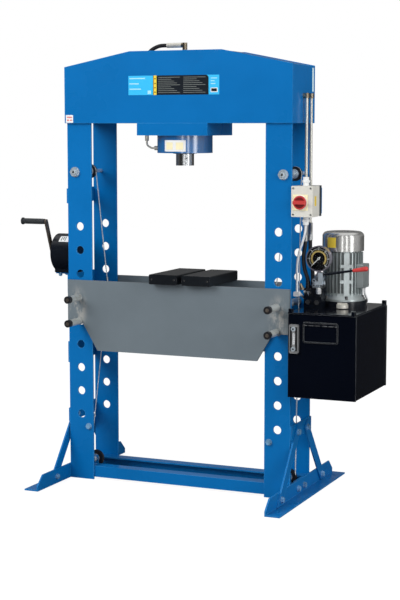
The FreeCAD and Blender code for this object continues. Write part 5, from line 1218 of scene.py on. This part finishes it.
class PRESS_OT_gauge(PressPiece, bpy.types.Operator):
    """Pressure gauge with its dial, scale and numbers"""
    bl_idname = "press.gauge"
    bl_label = "Pressure Gauge"

    START = 225
    SWEEP = 270

    def execute(self, context):
        dress(["gauge_case"], "ring", 0.0008)
        second_finish("gauge_case", "wheel", lambda c: c.y < 0.0035 and math.hypot(
            c.x - GAUGE_X, c.z - GAUGE_Z) < 0.0483)
        dress(["gauge_needle"], "paper", 0)
        dress(["gauge_glass"], "glass", 0.0003)
        centre = front_middle("gauge_glass")
        y = 0.00285
        turned("gauge_dial", (centre.x, y + 0.0004, centre.z), FRONT,
               [(0, 0.0027), (0, 0.0475), (0.0004, 0.0475), (0.0004, 0.0027), (0, 0.0027)], "dial",
               steps=64)
        self.scale(centre, y - 0.0002)
        self.numbers(centre, y - 0.0003)
        return {"FINISHED"}

    def angle(self, share):
        return math.radians(self.START - self.SWEEP * share)

    def scale(self, centre, y):
        marks = bmesh.new()
        gold = bmesh.new()
        for index in range(43):
            inner, half = (0.0355, 0.0009) if index % 7 == 0 else (0.0375, 0.0005)
            self.bar(marks, centre, y, self.angle(index / 42), inner, 0.0412, half)
            if index < 42:
                self.bar(gold, centre, y, self.angle((index + 0.5) / 42), 0.0262, 0.0332, 0.00115)
        keep("gauge_marks", marks, "paper")
        keep("gauge_gold_scale", gold, "gold")

    def bar(self, mesh, centre, y, angle, inner, outer, half):
        along = Vector((math.cos(angle), 0, math.sin(angle)))
        across = Vector((-math.sin(angle), 0, math.cos(angle)))
        back, front = ([mesh.verts.new(Vector((centre.x, y + depth, centre.z)) + along * reach
                                       + across * half * side)
                        for reach, side in ((inner, -1), (outer, -1), (outer, 1), (inner, 1))]
                       for depth in (0.0, -0.0002))
        mesh.faces.new(back)
        mesh.faces.new(list(reversed(front)))
        join_rings(mesh, back, front)

    def numbers(self, centre, y):
        for index in range(7):
            angle = self.angle(index / 6)
            name = "gauge_number_%d" % index
            data = bpy.data.curves.new(name, "FONT")
            data.body = str(index * 100)
            data.size = 0.0054
            data.align_x = "CENTER"
            data.align_y = "CENTER"
            data.extrude = 0.0001
            data.materials.append(look("paper"))
            piece = bpy.data.objects.new(name, data)
            piece.rotation_euler = (math.radians(90), 0, 0)
            piece.location = (centre.x + 0.0443 * math.cos(angle), y, centre.z + 0.0443 * math.sin(angle))
            bpy.context.scene.collection.objects.link(piece)
            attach(piece, "frame")


class PRESS_OT_switch(PressPiece, bpy.types.Operator):
    """Main switch box with its yellow plate, red knob and glands"""
    bl_idname = "press.switch"
    bl_label = "Main Switch"

    def execute(self, context):
        face = -0.1302
        dress(["switch_box"], "slate", 0.001)
        second_finish("switch_box", "gland", lambda c: c.y < -0.056 and (c.z > 1.2675 or c.z < 1.1445))
        dress(["switch_cover"], "cream", 0.0012)
        second_finish("switch_cover", "pale_yellow",
                      lambda c: c.y < face and 0.5085 < c.x < 0.5715 and 1.170 < c.z < 1.234)
        second_finish("switch_cover", "zinc",
                      lambda c: c.y < face and (c.x < 0.516 or c.x > 0.577) and (c.z < 1.160 or c.z > 1.252))
        dress(["switch_knob"], "red", 0.0015)
        self.recesses()
        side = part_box("switch_cover")[1].x
        slab("switch_side_field", (side - 0.0001, -0.106, 1.188), (side + 0.0004, -0.086, 1.226),
             "yellow", 0.0001)
        return {"FINISHED"}

    def recesses(self):
        """Dark red shapes above and below the knob's handle bar, painted shade for its hollows, and a collar
        round its disc.
        """
        x, y, z = 0.540, -0.1413, 1.202
        for name, reach in (("upper", 0.0215), ("lower", -0.0215)):
            angles = [math.radians(24 + index * 11) for index in range(13)]
            outline = [(x + reach * math.cos(angle), y - 0.0001, z + reach * math.sin(angle))
                       for angle in angles]
            flat_shape("switch_knob_hollow_shade_" + name, outline, 0.0004, "dark_red", "switch_knob")
        turned("switch_knob_collar", (x, -0.1322, z), FRONT,
               [(0, 0.0272), (0, 0.0292), (0.0022, 0.0290), (0.0026, 0.0276), (0.0026, 0.0272), (0, 0.0272)],
               "paper", steps=48)


class PRESS_OT_pipes(PressPiece, bpy.types.Operator):
    """Steel pipes, brass elbows, hoses and the white motor cable"""
    bl_idname = "press.pipes"
    bl_label = "Pipes and Hoses"

    def execute(self, context):
        dress(["steel_pipes"], "pipe", 0.0005)
        dress(["pipe_fittings"], "brass", 0.0007)
        second_finish("pipe_fittings", "zinc", lambda c: c.z < 1.1122)
        second_finish("pipe_fittings", "pipe", lambda c: c.x < 0.1 and c.z < 1.45)
        self.crimps()
        dress(["hoses"], "rubber", 0)
        dress(["motor_cable"], "cable", 0)
        return {"FINISHED"}

    def crimps(self):
        """Crimped sleeves where the hoses leave the pipes and enter the valve block."""
        upper = [(0, 0.0060), (0, 0.0086), (0.003, 0.0094), (0.007, 0.0090), (0.010, 0.0094),
                 (0.014, 0.0090), (0.017, 0.0094), (0.021, 0.0090), (0.024, 0.0094), (0.026, 0.0086),
                 (0.026, 0.0060)]
        lower = [(0, 0.0060), (0, 0.0105), (0.008, 0.0105), (0.009, 0.0092), (0.013, 0.0096),
                 (0.016, 0.0090), (0.019, 0.0096), (0.022, 0.0090), (0.025, 0.0094), (0.027, 0.0084),
                 (0.027, 0.0060)]
        for name, x, y in (("front", 0.520, -0.005), ("rear", 0.520, 0.050)):
            turned("hose_crimp_" + name, (x, y, 1.0662), (0, 0, -1), upper, "zinc", steps=28)
        for name, x, y in (("valve_front", 0.523, 0.020), ("valve_rear", 0.533, 0.052)):
            turned("hose_crimp_" + name, (x, y, 0.8501), UP, lower, "satin", steps=28)


class PRESS_OT_sight_glass(PressPiece, bpy.types.Operator):
    """Oil level glass on the tank's front"""
    bl_idname = "press.sight_glass"
    bl_label = "Sight Glass"

    def execute(self, context):
        low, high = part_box("sight_glass")
        dress(["sight_glass"], "frost", 0.001)
        middle = (low.x + high.x) / 2
        face = low.y + 0.006
        slab("sight_window", (middle - 0.0055, face + 0.0015, low.z + 0.034),
             (middle + 0.0055, face + 0.0045, high.z - 0.034), "oil", 0.0008)
        # black strips in the grooves beside the window: painted shade
        for name, x0, x1 in (("left", low.x + 0.0036, low.x + 0.0122),
                             ("right", high.x - 0.0122, high.x - 0.0036)):
            slab("sight_groove_shade_" + name, (x0, face - 0.0003, low.z + 0.010),
                 (x1, face + 0.0005, high.z - 0.010), "wheel", 0.0001)
        for name, z in (("low", low.z + 0.018), ("high", high.z - 0.018)):
            turned("sight_bolt_ring_" + name, (middle, low.y, z), FRONT,
                   [(-0.002, 0.0090), (-0.002, 0.0096), (0.0002, 0.0092), (0.0002, 0.0040), (-0.002, 0.0040)],
                   "bolt", steps=32)
            # dark disc in each bolt's socket: painted shade
            turned("sight_bolt_socket_shade_" + name, (middle, low.y, z), FRONT, disc(0.0040, 0.0001, start=-0.001),
                   "wheel", steps=24)
        marks = bmesh.new()
        for index in range(6):
            z = low.z + 0.038 + index * (high.z - low.z - 0.076) / 5
            block_mesh(marks, (middle - 0.0050, face + 0.0009, z - 0.0008),
                       (middle + 0.0050, face + 0.0016, z + 0.0008))
        keep("sight_marks", marks, "wheel")
        return {"FINISHED"}


PIECE_OPERATORS = (PRESS_OT_stage, PRESS_OT_frame, PRESS_OT_cylinder, PRESS_OT_head_labels,
                   PRESS_OT_table, PRESS_OT_ropes, PRESS_OT_winch, PRESS_OT_power_unit,
                   PRESS_OT_gauge, PRESS_OT_switch, PRESS_OT_pipes, PRESS_OT_sight_glass)
GROUPS = (("press_colours", PressColours), ("press_finish", PressFinish), ("press_studio", PressStudio))


class PRESS_PT_panel(bpy.types.Panel):
    """Lists the settings and the groups of pieces in the sidebar"""
    bl_label = "Workshop Press"
    bl_idname = "PRESS_PT_panel"
    bl_space_type = "VIEW_3D"
    bl_region_type = "UI"
    bl_category = "Workshop Press"

    def draw(self, context):
        for group, kind in GROUPS:
            column = self.layout.column(align=True)
            for name in kind.__annotations__:
                column.prop(getattr(context.scene, group), name)
        for operator in PIECE_OPERATORS:
            self.layout.operator(operator.bl_idname)


def register():
    for name, group in GROUPS:
        bpy.utils.register_class(group)
        setattr(bpy.types.Scene, name, bpy.props.PointerProperty(type=group))
    for made in (*PIECE_OPERATORS, PRESS_PT_panel):
        bpy.utils.register_class(made)


def unregister():
    for made in (PRESS_PT_panel, *reversed(PIECE_OPERATORS)):
        bpy.utils.unregister_class(made)
    for name, group in reversed(GROUPS):
        delattr(bpy.types.Scene, name)
        bpy.utils.unregister_class(group)


def main():
    register()
    for made in PIECE_OPERATORS:
        module, name = made.bl_idname.split(".")
        getattr(getattr(bpy.ops, module), name)()


if __name__ == "__main__":
    main()
